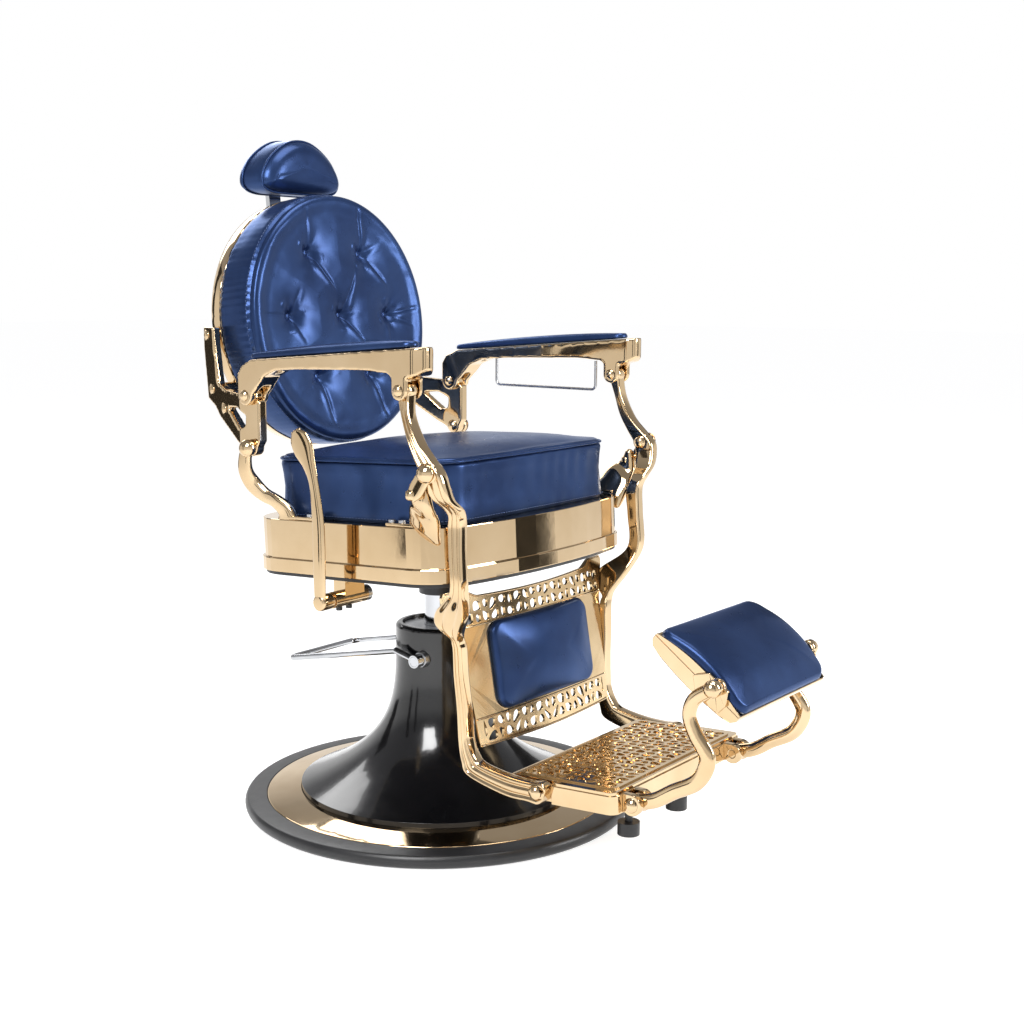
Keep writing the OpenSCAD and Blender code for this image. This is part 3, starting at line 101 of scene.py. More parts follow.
def rings_mesh(rings, end="fan"):
    """Stacked closed rings of one count; a fan closes the first, a fan or a strip the last."""
    rings = [np.asarray(r, float) for r in rings]
    n = len(rings[0])
    verts = [p for r in rings for p in r]
    faces = []
    for j in range(len(rings) - 1):
        a, b = j * n, (j + 1) * n
        for i in range(n):
            k = (i + 1) % n
            faces.append((a + i, a + k, b + k, b + i))
    for how, start in (("fan", 0), (end, (len(rings) - 1) * n)):
        if how == "fan":
            verts.append(np.mean(verts[start:start + n], axis=0))
            faces += [(start + i, start + (i + 1) % n, len(verts) - 1) for i in range(n)]
            continue
        for i in range(1, n // 2):
            a, b = start + i, start + (n - i) % n
            c, d = start + i + 1, start + (n - i - 1) % n
            faces.append((a, b, c) if c == d else (a, b, d, c))
        faces.append((start, start + 1, start + n - 1))
    return verts, faces


# a direction that no tube here runs along
ODD_WAY = (0.13, 0.31, 0.94)


def tube(path, radius, closed=False, sides=10):
    """A round tube along a path; the radius is one number or one for each point."""
    p = np.asarray(path, float)
    n = len(p)
    rings = []
    normal = None
    for i in range(n):
        a = p[(i - 1) % n] if closed or i > 0 else p[i]
        b = p[(i + 1) % n] if closed or i < n - 1 else p[i]
        t = b - a
        t /= np.linalg.norm(t) + 1e-12
        if normal is None:
            normal = np.cross(t, ODD_WAY)
        normal = normal - t * np.dot(normal, t)
        normal /= np.linalg.norm(normal) + 1e-12
        other = np.cross(t, normal)
        r = radius[i] if hasattr(radius, "__len__") else radius
        rings.append([p[i] + r * (math.cos(2 * math.pi * k / sides) * normal
                                  + math.sin(2 * math.pi * k / sides) * other) for k in range(sides)])
    verts = [q for r in rings for q in r]
    faces = []
    for j in range(n if closed else n - 1):
        a, b = j * sides, ((j + 1) % n) * sides
        for i in range(sides):
            k = (i + 1) % sides
            faces.append((a + i, b + i, b + k, a + k))
    if not closed:
        faces.append(tuple(range(sides - 1, -1, -1)))
        faces.append(tuple((n - 1) * sides + i for i in range(sides)))
    return verts, faces


TIP_RINGS = 5


def strap(points, wides, thicks, out=(1, 0, 0), power=2.5, sides=28):
    """A cast bar along a path, its thickness along the axis out, its ends rounded."""
    p = np.asarray(points, float)
    tang = np.gradient(p, axis=0)
    tang /= np.linalg.norm(tang, axis=1)[:, None]
    ca, sa = np.cos(turns(sides)), np.sin(turns(sides))
    cu, su = np.sign(ca) * np.abs(ca) ** (2 / power), np.sign(sa) * np.abs(sa) ** (2 / power)

    def ring(c, t, w, h):
        o = np.asarray(out, float) - t * np.dot(out, t)
        o /= np.linalg.norm(o)
        return c + np.outer(cu * w / 2, np.cross(t, o)) + np.outer(su * h / 2, o)

    def tip(end, way, k):
        ang = math.pi / 2 * k / (TIP_RINGS + 0.6)
        t, h = tang[end], thicks[end]
        return ring(p[end] + way * t * math.sin(ang) * h / 2, t, wides[end] - h * (1 - math.cos(ang)),
                    h * math.cos(ang))

    return rings_mesh([tip(0, -1, k) for k in range(TIP_RINGS, 0, -1)]
                      + [ring(p[i], tang[i], wides[i], thicks[i]) for i in range(len(p))]
                      + [tip(-1, 1, k) for k in range(1, TIP_RINGS + 1)])


def joined(parts):
    verts, faces = [], []
    for v, f in parts:
        base = len(verts)
        verts += list(v)
        faces += [tuple(i + base for i in q) for q in f]
    return verts, faces


def smooth_path(points, steps=7):
    """A smooth curve through points, or through rows such as y, z and width."""
    p = np.asarray(points, float)
    out = []
    for i in range(len(p) - 1):
        p0, p1, p2, p3 = p[max(i - 1, 0)], p[i], p[i + 1], p[min(i + 2, len(p) - 1)]
        for k in range(steps):
            t = k / steps
            out.append((2 * p1 + (p2 - p0) * t + (2 * p0 - 5 * p1 + 4 * p2 - p3) * t * t
                        + (3 * p1 - p0 - 3 * p2 + p3) * t ** 3) / 2)
    out.append(p[-1])
    return np.array(out)


def smoothstep(a, b, x):
    t = np.clip((x - a) / (b - a), 0, 1)
    return t * t * (3 - 2 * t)


def wobble(x, y, z, scale, seed=0.0):
    """Smooth, repeatable unevenness from a few crossed waves, about -1 to 1."""
    s = 1.0 / scale
    return (np.sin(x * 1.7 * s + 1.3 * np.sin(y * 1.1 * s + seed) + seed)
            + np.sin(y * 2.1 * s + 1.1 * np.sin(z * 1.3 * s + 2 * seed) + 1.7 * seed)
            + np.sin(z * 1.9 * s + 1.2 * np.sin(x * 0.9 * s + 3 * seed) + 2.3 * seed)) / 3


# Materials

def new_material(name):
    mat = bpy.data.materials.new(name)
    mat.use_nodes = True
    tree = mat.node_tree
    tree.nodes.clear()
    out = tree.nodes.new("ShaderNodeOutputMaterial")
    shader = tree.nodes.new("ShaderNodeBsdfPrincipled")
    tree.links.new(shader.outputs[0], out.inputs[0])
    return mat, tree, shader


def inputs(node, values):
    for key, value in values.items():
        node.inputs[key].default_value = value


def noise(tree, scale, detail=4.0, coords=None, stretch=None):
    node = tree.nodes.new("ShaderNodeTexNoise")
    inputs(node, {"Scale": scale, "Detail": detail, "Roughness": 0.55})
    if coords is None:
        coords = tree.nodes.new("ShaderNodeTexCoord").outputs["Object"]
    if stretch:
        m = tree.nodes.new("ShaderNodeMapping")
        m.inputs["Scale"].default_value = stretch
        tree.links.new(coords, m.inputs["Vector"])
        coords = m.outputs["Vector"]
    tree.links.new(coords, node.inputs["Vector"])
    return node.outputs["Fac"]


def ramp(tree, fac, stops):
    node = tree.nodes.new("ShaderNodeValToRGB")
    el = node.color_ramp.elements
    while len(el) < len(stops):
        el.new(0.5)
    for e, (pos, col) in zip(el, stops):
        e.position = pos
        e.color = (col, col, col, 1) if not hasattr(col, "__len__") else (*col, 1)
    tree.links.new(fac, node.inputs[0])
    return node.outputs[0]


def bump(tree, height, strength, distance, below=None):
    node = tree.nodes.new("ShaderNodeBump")
    inputs(node, {"Strength": strength, "Distance": distance})
    tree.links.new(height, node.inputs["Height"])
    if below is not None:
        tree.links.new(below, node.inputs["Normal"])
    return node.outputs["Normal"]


def metal(name, dark, light, rough, grain=0.0, smudge=0.05):
    mat, tree, s = new_material(name)
    s.inputs["Metallic"].default_value = 1.0
    n = noise(tree, 9.0, 3.0)
    tree.links.new(ramp(tree, n, [(0.3, dark), (0.7, light)]), s.inputs["Base Color"])
    m = noise(tree, 38.0, 5.0)
    tree.links.new(ramp(tree, m, [(0.35, rough), (0.75, rough + smudge)]), s.inputs["Roughness"])
    normal = bump(tree, noise(tree, 55.0, 2.0), 0.05, 0.0004)
    if grain:
        normal = bump(tree, noise(tree, 900.0, 2.0, stretch=(1, 1, 0.05)), grain, 0.0002, normal)
    tree.links.new(normal, s.inputs["Normal"])
    return mat


def vinyl(name, deep, light):
    mat, tree, s = new_material(name)
    coords = tree.nodes.new("ShaderNodeTexCoord").outputs["Object"]
    broad = noise(tree, 7.0, 3.0, coords=coords)
    fine = noise(tree, 420.0, 3.0, coords=coords)
    mix = tree.nodes.new("ShaderNodeMath")
    mix.operation = "MULTIPLY_ADD"
    tree.links.new(fine, mix.inputs[0])
    mix.inputs[1].default_value = 0.12
    tree.links.new(broad, mix.inputs[2])
    tree.links.new(ramp(tree, mix.outputs[0], [(0.40, deep), (0.75, light)]), s.inputs["Base Color"])
    tree.links.new(ramp(tree, noise(tree, 60.0, 4.0, coords=coords), [(0.3, 0.27), (0.75, 0.34)]),
                   s.inputs["Roughness"])
    inputs(s, {"Metallic": 0.70, "Specular IOR Level": 0.3, "Specular Tint": (0.55, 0.66, 0.92, 1),
               "Coat Weight": 0.05, "Coat Roughness": 0.20, "Sheen Weight": 0.02, "Sheen Roughness": 0.4})
    cells = tree.nodes.new("ShaderNodeTexVoronoi")
    cells.inputs["Scale"].default_value = 650.0
    tree.links.new(coords, cells.inputs["Vector"])
    normal = bump(tree, cells.outputs["Distance"], 0.05, 0.0002)
    normal = bump(tree, noise(tree, 16.0, 1.0, coords=coords), 0.06, 0.002, normal)
    tree.links.new(normal, s.inputs["Normal"])
    return mat


def plastic(name, deep, light, rough, coat=0.0, grain=0.1, scale=300.0):
    mat, tree, s = new_material(name)
    tree.links.new(ramp(tree, noise(tree, 14.0), [(0.3, deep), (0.75, light)]), s.inputs["Base Color"])
    tree.links.new(ramp(tree, noise(tree, 45.0, 5.0), [(0.3, rough), (0.8, rough + 0.08)]),
                   s.inputs["Roughness"])
    if coat:
        inputs(s, {"Coat Weight": coat, "Coat Roughness": 0.03})
    tree.links.new(bump(tree, noise(tree, scale, 3.0), grain, 0.0004), s.inputs["Normal"])
    return mat


def plywood(name):
    mat, tree, s = new_material(name)
    n = noise(tree, 30.0, 6.0, stretch=(1, 6, 40))
    tree.links.new(ramp(tree, n, [(0.3, (0.36, 0.24, 0.13)), (0.7, (0.62, 0.47, 0.29))]),
                   s.inputs["Base Color"])
    tree.links.new(ramp(tree, noise(tree, 80.0), [(0.3, 0.55), (0.8, 0.75)]), s.inputs["Roughness"])
    tree.links.new(bump(tree, n, 0.2, 0.0005), s.inputs["Normal"])
    return mat


MATS = {
    "gold_chrome": metal("gold", (0.59, 0.43, 0.25), (0.67, 0.51, 0.32), 0.05, smudge=0.03),
    "chrome": metal("chrome", (0.46, 0.47, 0.49), (0.60, 0.61, 0.63), 0.08),
    "steel": metal("steel", (0.42, 0.43, 0.45), (0.56, 0.57, 0.59), 0.24, grain=0.2, smudge=0.12),
    "navy_vinyl": vinyl("vinyl", (0.013, 0.028, 0.084), (0.024, 0.050, 0.138)),
    "gloss_black": plastic("enamel", (0.002, 0.002, 0.0025), (0.005, 0.005, 0.006), 0.12, coat=0.35,
                           grain=0.02),
    "floor_rubber": plastic("rubber", (0.008, 0.008, 0.009), (0.020, 0.020, 0.022), 0.34, grain=0.25,
                            scale=500.0),
    "black_steel": plastic("black_paint", (0.008, 0.008, 0.009), (0.022, 0.022, 0.024), 0.36, grain=0.15),
    "black_plastic": plastic("knob_plastic", (0.010, 0.010, 0.011), (0.024, 0.024, 0.026), 0.45, grain=0.3),
    "plywood": plywood("plywood"),
}
GOLD_RELIEF = metal("gold_relief", (0.60, 0.42, 0.22), (0.74, 0.56, 0.33), 0.11, smudge=0.06)
THREAD = plastic("thread", (0.035, 0.065, 0.17), (0.075, 0.12, 0.26), 0.55, grain=0.4, scale=1500.0)

slots = {s["node"]: s["material_slot"] for s in frame["record"]["subparts"]}
UNBEVELLED = ("navy_vinyl", "plywood")
ROUNDED = ("armrest_frame", "back_bracket")
EDGE, EDGE_TURN = 0.0016, 38
PIN_EDGE = 0.0012
VOXEL = 0.0019


def round_off(obj):
    """Rounds a casting all over, as sand casting and polishing do."""
    # with its own settings a bevel takes the edges off as wide as the plate allows
    obj.modifiers.new("bevel", "BEVEL")
    rem = obj.modifiers.new("remesh", "REMESH")
    rem.mode = "VOXEL"
    rem.voxel_size = VOXEL
    rem.use_smooth_shade = True
    even = obj.modifiers.new("even", "SMOOTH")
    even.factor = 0.6
    even.iterations = 9


for name, obj in nodes.items():
    mat = MATS[slots[name]]
    if not obj.data.materials:
        obj.data.materials.append(mat)
    for i in range(len(obj.data.materials)):
        obj.material_slots[i].link = "OBJECT"
        obj.material_slots[i].material = mat
    if slots[name] in UNBEVELLED:
        continue
    weld = obj.modifiers.new("weld", "WELD")
    weld.merge_threshold = 0.00002
    if name.startswith(ROUNDED):
        round_off(obj)
        continue
    if name == "knuckle_pins":
        bevel(obj, PIN_EDGE, 4, EDGE_TURN)
    else:
        bevel(obj, EDGE, 2, EDGE_TURN)
    obj.modifiers.new("normals", "WEIGHTED_NORMAL").keep_sharp = True


# Frames shared with the CAD

def tilted(origin, degrees):
    return Matrix.Translation(Vector(origin)) @ Matrix.Rotation(math.radians(degrees), 4, "X")


def apply(matrix, pts):
    m = np.array(matrix)
    p = np.asarray(pts, float)
    return p @ m[:3, :3].T + m[:3, 3]


BACK = tilted((0, 0.222, 0.815), -6)
SEAT = tilted((0, -0.009, 0.511), -2.8)
PANEL = tilted((0, -0.190, 0.405), -10)
PAD = tilted((0, -0.574, 0.338), 36)
PLATE = tilted((0, -0.477, 0.15976), -3)


CORNER_STEPS = 24


def rounded(a, b, r, count, bow=0.0):
    """A rounded rectangle of half sizes a and b, its points evenly spaced, its front (-y) bowed out."""
    r = max(min(r, a - 1e-5, b - 1e-5), 1e-5)
    dense = []
    for cx, cy, start in ((a - r, b - r, 0), (r - a, b - r, 90), (r - a, r - b, 180), (a - r, r - b, 270)):
        for k in range(CORNER_STEPS + 1):
            t = math.radians(start + 90 * k / CORNER_STEPS)
            dense.append((cx + r * math.cos(t), cy + r * math.sin(t)))
    dense = np.array(dense + [dense[0]])
    dist = run_lengths(dense)
    # the start is moved to the middle of the +x side, so that strips close evenly
    want = (dist[-1] - (b - r) + np.arange(count) / count * dist[-1]) % dist[-1]
    out = np.stack([np.interp(want, dist, dense[:, 0]), np.interp(want, dist, dense[:, 1])], axis=1)
    if bow:
        out[:, 1] -= bow * smoothstep(0, -b, out[:, 1]) * (1 - (out[:, 0] / a) ** 2)
    return out


def pad_rings(a, b, r, side, crown, face=None, count=96, bow=0.0, top_steps=14, power=2.4):
    """Rings of a stuffed pad: side is [(inset, height)], then a crowned top; face(x, y) adds to the top."""
    rings = []
    for inset, h in side:
        o = rounded(a - inset, b - inset, r - inset * 0.6, count, bow)
        rings.append(np.column_stack([o, np.full(count, h)]))
    inset0, h0 = side[-1]
    a0, b0 = a - inset0, b - inset0
    small = min(a0, b0) * 0.985
    for k in range(1, top_steps + 1):
        t = (k / top_steps) ** 1.25
        d = small * t
        o = rounded(a0 - d, b0 - d, max(r - inset0 - d * 0.8, small * 0.01), count, bow * (1 - t))
        x, y = o[:, 0] / a0, o[:, 1] / b0
        rise = (1 - np.abs(np.clip(x, -1, 1)) ** power) * (1 - np.abs(np.clip(y, -1, 1)) ** power)
        rise = np.sqrt(np.clip(rise, 0, 1)) * 0.35 + np.clip(rise, 0, 1) * 0.65
        h = h0 + crown * rise
        if face:
            h = h + face(o[:, 0], o[:, 1])
        rings.append(np.column_stack([o, h]))
    return rings


CLOTH_FRAMES = 20
EVEN_PASSES, EVEN_SHARE = 30, 0.6


def puff(obj, pressure, cap):
    """Swells a stuffed piece with a short cloth run, by the cap at most, and evens the swelling out."""
    scene = bpy.context.scene
    bpy.context.view_layer.objects.active = obj
    for o in bpy.context.selected_objects:
        o.select_set(False)
    obj.select_set(True)
    n = len(obj.data.vertices)
    before, after = np.empty(n * 3), np.empty(n * 3)
    obj.data.vertices.foreach_get("co", before)
    others = list(obj.modifiers)
    for m in others:
        m.show_viewport = False
    cloth = obj.modifiers.new("cloth", "CLOTH")
    st = cloth.settings
    st.use_pressure = True
    st.uniform_pressure_force = pressure
    st.effector_weights.gravity = 0
    st.quality = 5
    st.tension_stiffness = st.compression_stiffness = 25
    st.bending_stiffness = 2.0
    cloth.collision_settings.use_collision = False
    cloth.collision_settings.use_self_collision = False
    for f in range(1, CLOTH_FRAMES + 1):
        scene.frame_set(f)
    ev = obj.evaluated_get(bpy.context.evaluated_depsgraph_get())
    ev.data.vertices.foreach_get("co", after)
    obj.modifiers.remove(cloth)
    for m in others:
        m.show_viewport = True
    scene.frame_set(1)
    before, after = before.reshape(-1, 3), after.reshape(-1, 3)
    move = after - before
    size = np.linalg.norm(move, axis=1)
    move *= (np.minimum(size, cap) / np.maximum(size, 1e-9))[:, None]
    ends = np.empty(len(obj.data.edges) * 2, int)
    obj.data.edges.foreach_get("vertices", ends)
    a, b = ends.reshape(-1, 2).T
    links = np.bincount(a, minlength=n) + np.bincount(b, minlength=n)
    for _ in range(EVEN_PASSES):
        near = np.stack([np.bincount(a, move[b, k], n) + np.bincount(b, move[a, k], n) for k in range(3)],
                        axis=1)
        move = (1 - EVEN_SHARE) * move + EVEN_SHARE * near / np.maximum(links, 1)[:, None]
    obj.data.vertices.foreach_set("co", (before + move).ravel())
    obj.data.update()


VINYL = MATS["navy_vinyl"]
GOLD = MATS["gold_chrome"]


def soft(name, verts, faces, body, node, levels=1):
    obj = make(name, verts, faces, VINYL, body, levels=levels)
    recalc(obj)
    if node:
        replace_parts(obj, node)
    return obj


# Tufted back

R = 0.210
BUTTONS = np.array([(-0.31, 0.54), (0.31, 0.54), (-0.575, 0.033), (0, 0.033), (0.575, 0.033), (-0.31, -0.457),
                    (0.31, -0.457)]) * R
# pleats from the buttons: start, end, depth and width, in millimetres
PLEATS = [(-65, 113, -14, 48, 6.5, 3.4), (-65, 113, -74, 200, 3.0, 3.0), (65, 113, 55, 196, 6.5, 3.0),
          (65, 113, 112, 134, 5.0, 3.6), (65, 113, 124, 52, 6.5, 3.4), (0, 7, 42, 92, 4.5, 3.6),
          (0, 7, 46, -40, 6.0, 3.6), (0, 7, 40, 14, 3.5, 3.6), (121, 7, 202, 20, 5.5, 3.6),
          (121, 7, 186, -14, 4.5, 4.0), (121, 7, 118, -44, 4.5, 3.4), (-121, 7, -200, 10, 3.5, 2.8),
          (-121, 7, -100, 52, 5.0, 3.4), (-121, 7, -96, -40, 5.0, 3.4), (-65, -96, -44, -178, 6.0, 3.4),
          (65, -96, 92, -176, 6.0, 3.0), (-65, -96, -22, -84, 3.5, 3.6), (65, -96, 108, -82, 3.5, 3.6),
          (-65, 113, -104, 150, 2.5, 4.0), (-65, -96, -118, -128, 3.0, 3.6), (65, -96, 8, -84, 2.5, 3.4)]


def near_segment(x, y, a, b):
    """Distance to a segment and the share of the way along it."""
    d = b - a
    t = np.clip(((x - a[0]) * d[0] + (y - a[1]) * d[1]) / (d @ d), 0, 1)
    return np.hypot(x - a[0] - d[0] * t, y - a[1] - d[1] * t), t


# roll round the rim: its height, and its crest, half width and inner end as shares of R
ROLL, CREST, ROLL_HALF, ROLL_END = 0.0145, 0.93, 0.085, 0.80
# a button's pit and the wide hollow round it: depth and reach
PIT, HOLLOW = (0.0150, 0.0125), (0.0065, 0.040)


def tufted(x, y):
    """Height of the back's face in front of its seam plane, in metres."""
    r = np.hypot(x, y) / R
    rim = ROLL * np.sqrt(np.clip(1 - ((r - CREST) / ROLL_HALF) ** 2, 0, 1))
    inner = smoothstep(1.0, ROLL_END, r)
    roll = np.where(r > CREST, rim, ROLL - 0.0065 * smoothstep(CREST, ROLL_END, r))
    h = roll * (1 - inner) + (0.0085 + 0.0055 * (1 - r ** 2)) * inner
    dip = np.zeros_like(x)
    for b in BUTTONS:
        d = np.hypot(x - b[0], y - b[1])
        ang = np.arctan2(y - b[1], x - b[0])
        one = PIT[0] * np.exp(-(d / PIT[1]) ** 1.25) + HOLLOW[0] * np.exp(-(d / HOLLOW[1]) ** 1.8)
        one *= 1 + 0.05 * np.sin(ang * 7 + b[0] * 90) * smoothstep(0.005, 0.02, d)
        dip = np.maximum(dip, one)
    crease = np.zeros_like(x)
    lift = np.zeros_like(x)
    for x0, y0, x1, y1, deep, wide in PLEATS:
        a, b = np.array((x0, y0)) * MM, np.array((x1, y1)) * MM
        d, t = near_segment(x, y, a, b)
        across = ((x - a[0]) * (b[1] - a[1]) - (y - a[1]) * (b[0] - a[0])) / np.hypot(*(b - a))
        fade = (1 - 0.85 * t ** 1.6) * np.where(t >= 1, np.exp(-(d / 0.006) ** 2), 1)
        w = wide * MM * (1.25 - 0.45 * t)
        crease = np.maximum(crease, deep * MM * fade * np.exp(-np.abs(d / w) ** 1.3))
        # one side of a pleat stands a little proud
        lift += 0.30 * deep * MM * fade * np.exp(-((across - 2.1 * w) / (1.5 * w)) ** 2) * (d < 0.03)
    unevenness = 0.0007 * wobble(x, y, x * 0, 0.030, 0.7) + 0.0003 * wobble(x, y, y, 0.011, 1.9)
    flat = smoothstep(1.0, 0.9, r)
    return h - np.hypot(dip, crease * 0.9) * flat + np.minimum(lift, 0.002) * flat * 0.8 \
        + unevenness * smoothstep(1.0, CREST, r)


BACK_SIDES, FACE_RINGS = 480, 84
BUTTON_SIDES = 28
# a covered button's section: radius and height
BUTTON = [(0.0026, -0.0044), (0.0052, -0.0036), (0.0074, -0.0022), (0.0086, -0.0004), (0.0088, 0.0012),
          (0.0080, 0.0030), (0.0060, 0.0040)]


def build_back():
    n = BACK_SIDES
    ang = turns(n)
    cx, cy = np.cos(ang), np.sin(ang)
    rings = []
    for k in range(FACE_RINGS):
        r = R * (0.006 + 0.994 * (k / (FACE_RINGS - 1)))
        x, y = r * cx, r * cy
        rings.append(np.column_stack([x, -tufted(x, y), y]))
    # boxing from the seam back to the shell: depth, how far out, and the wrinkles' share there
    sides_only = np.exp(-((np.abs(np.abs(ang - math.pi) - math.pi / 2) - math.pi / 2) / 0.42) ** 2)
    fold = 0.0010 * np.sin(ang * 110 + 2.0 * np.sin(ang * 9)) * (0.12 + 0.88 * sides_only)
    wrinkle = fold + 0.0005 * np.sin(ang * 31 + 2.0 * np.sin(ang * 7))
    for depth, out, wr in ((0.0006, -0.0022, 0), (0.0016, -0.0020, 0.3), (0.0035, 0.0016, 1.0),
                           (0.008, 0.0034, 1.0), (0.015, 0.0042, 0.8), (0.024, 0.0046, 0.5),
                           (0.034, 0.0046, 0.3), (0.044, 0.0044, 0.3), (0.053, 0.0042, 0.6),
                           (0.060, 0.0036, 0.8), (0.065, 0.0026, 0.6), (0.068, 0.0005, 0),
                           (0.068, -0.012, 0)):
        r = R + out + wrinkle * wr + 0.0007 * wobble(cx * 0.2, cy * 0.2, depth * 3, 0.03, 0.4)
        rings.append(np.column_stack([r * cx, np.full(n, depth), r * cy]))
    verts, faces = rings_mesh(rings)
    soft("back_pad", apply(BACK, verts), faces, "back", "back_cushion", levels=0)


def build_buttons():
    """Covered buttons, each sunk in its tuft."""
    a = turns(BUTTON_SIDES)
    parts = []
    for b in BUTTONS:
        top = -tufted(np.array([b[0]]), np.array([b[1]]))[0] - 0.0010
        parts.append(rings_mesh([np.column_stack([b[0] + r * np.cos(a), np.full(BUTTON_SIDES, top + h),
                                                  b[1] + r * np.sin(a)]) for r, h in BUTTON]))
    v, f = joined(parts)
    soft("back_covered_buttons", apply(BACK, v), f, "back", "back_buttons")


def ring_path(r, depth, n=240):
    a = turns(n)
    return np.column_stack([r * np.cos(a), np.full(n, depth), r * np.sin(a)])


# a stitch: from one to the next, its length and its radius
STITCH_EVERY, STITCH, STITCH_R = 0.0062, 0.0040, 0.00055


def stitches(name, path, body, matrix):
    """Short raised lengths of thread along a closed path."""
    q = np.vstack([path, path[:1]])
    dist = run_lengths(q)
    count = int(dist[-1] / STITCH_EVERY)
    radii = [STITCH_R * 0.45, STITCH_R, STITCH_R, STITCH_R * 0.45]
    parts = []
    for k in range(count):
        s0 = k * dist[-1] / count
        at = [np.array([np.interp(s, dist, q[:, c]) for c in range(3)]) for s in
              (s0, s0 + STITCH * 0.25, s0 + STITCH * 0.75, s0 + STITCH)]
        parts.append(tube(at, radii, sides=5))
    v, f = joined(parts)
    make(name, apply(matrix, v), f, THREAD, body)


build_back()
build_buttons()
stitches("back_stitches_front", ring_path(R + 0.0030, 0.0058), "back", BACK)
stitches("back_stitches_face", ring_path(R - 0.0055, -0.0085), "back", BACK)


# Seat cushion

SEAT_OUT = 0.008


def build_seat():
    side = [(0.030, 0.0003), (0.010, 0.0004), (0.003, 0.0035), (0.0012, 0.010), (0.0030, 0.030),
            (0.0045, 0.052), (0.0030, 0.074), (0.0010, 0.088), (0.0016, 0.0925), (0.0040, 0.0932),
            (0.0042, 0.0945), (0.0022, 0.0965), (0.0060, 0.1010)]
    rings = pad_rings(0.2345, 0.1810, 0.056, side, 0.0125, lambda x, y: 0.0008 * wobble(x, y, x, 0.06, 0.3),
                      count=220, bow=0.009, top_steps=26)
    t = turns(len(rings[0]))
    # slight folds round the boxing
    for k in range(2, 9):
        grow = 1 + (0.0016 * np.sin(t * 37 + 3 * np.sin(t * 5)) * np.sin(k * 0.8)) / 0.2
        rings[k][:, :2] *= (1 + (grow - 1) * 0.35)[:, None]
    verts, faces = rings_mesh(rings, "strip")
    v = np.array(verts)
    v[:, 1] -= SEAT_OUT
    obj = soft("seat_pad", apply(SEAT, v), faces, "seat", "seat_cushion",
               levels=0)
    puff(obj, 4.0, 0.003)


def seat_edge(a, b, height):
    """A line round the cushion at that height."""
    edge = rounded(a, b, 0.055, 260, 0.009)
    return np.column_stack([edge[:, 0], edge[:, 1] - SEAT_OUT, np.full(len(edge), height)])


build_seat()
v, f = tube(seat_edge(0.2325, 0.1790, 0.0940), 0.0022, closed=True, sides=8)
soft("seat_piping", apply(SEAT, v), f, "seat", None, levels=0)
stitches("seat_stitches", seat_edge(0.2335, 0.1800, 0.0065) * (1.0005, 1.0005, 1), "seat", SEAT)


# Headrest

# one half of its outline, as shares of half its width and height
HEAD = [(0, -1), (0.35, -1), (0.66, -0.99), (0.87, -0.9), (0.97, -0.74), (1, -0.53), (0.975, -0.26),
        (0.9, 0.02), (0.79, 0.3), (0.64, 0.55), (0.46, 0.77), (0.28, 0.92), (0.12, 0.985), (0, 1)]


HEAD_HALF = np.array((0.094, 0.0465))
HEAD_Y, HEAD_Z, HEAD_BACK = 0.3325, 1.075, 0.038


def head_outline(half, n, inset):
    """The headrest's outline, counted evenly round, drawn in by the inset."""
    right = smooth_path(np.array(HEAD) * half, 10)
    loop = np.vstack([right, (right * (-1, 1))[::-1][1:]])
    dist = run_lengths(loop)
    want = np.arange(n) / n * dist[-1]
    o = np.column_stack([np.interp(want, dist, loop[:, 0]), np.interp(want, dist, loop[:, 1])])
    t = np.roll(o, -1, axis=0) - np.roll(o, 1, axis=0)
    t /= np.linalg.norm(t, axis=1)[:, None]
    return o - inset * np.column_stack([t[:, 1], -t[:, 0]])


def build_headrest():
    n = 160
    rings = []
    for inset, depth in ((0.014, 0.0), (0.007, 0.0006), (0.0032, 0.003), (0.0018, 0.008), (0.0012, 0.014),
                         (0.0006, 0.022), (0.0004, 0.034), (0.0006, 0.046), (0.0012, 0.054), (0.0028, 0.060),
                         (0.0055, 0.0655), (0.0095, 0.0700), (0.0150, 0.0735), (0.0220, 0.0760),
                         (0.0300, 0.0775)):
        o = head_outline(HEAD_HALF, n, inset)
        rings.append(np.column_stack([o[:, 0], np.full(n, HEAD_BACK - depth), o[:, 1]]))
    last = rings[-1]
    for share in (0.8, 0.6, 0.4, 0.2):
        r = last * (share, 1, share)
        r[:, 1] -= 0.0012 * (1 - share)
        rings.append(r)
    verts, faces = rings_mesh(rings)
    v = np.array(verts) + (0, HEAD_Y, HEAD_Z)
    puff(soft("headrest_cover", v, faces, "headrest", "headrest_pad", levels=0), 3.0, 0.003)


build_headrest()
parts = []
for depth, inset in ((0.0125, 0.0006), (0.0590, 0.0018)):
    hp = head_outline(HEAD_HALF + 0.0005, 220, inset)
    path = np.column_stack([hp[:, 0], np.full(len(hp), HEAD_Y + HEAD_BACK - depth), hp[:, 1] + HEAD_Z])
    parts.append(tube(path, 0.0017, closed=True, sides=8))
v, f = joined(parts)
soft("headrest_piping", v, f, "headrest", None, levels=0)


# Armrest pads

# the armrest's ends, as y and x, then how far it drops to the rear over its run
ARM_FRONT, ARM_REAR = (-0.1695, 0.278), (0.1705, 0.2555)
ARM_DROP, ARM_RUN = 0.030, 0.369
# where the pad's middle lies, and the armrest's front top
ARM_MID, ARM_TOP, ARM_TOP_Y = -0.012, 0.787, -0.214


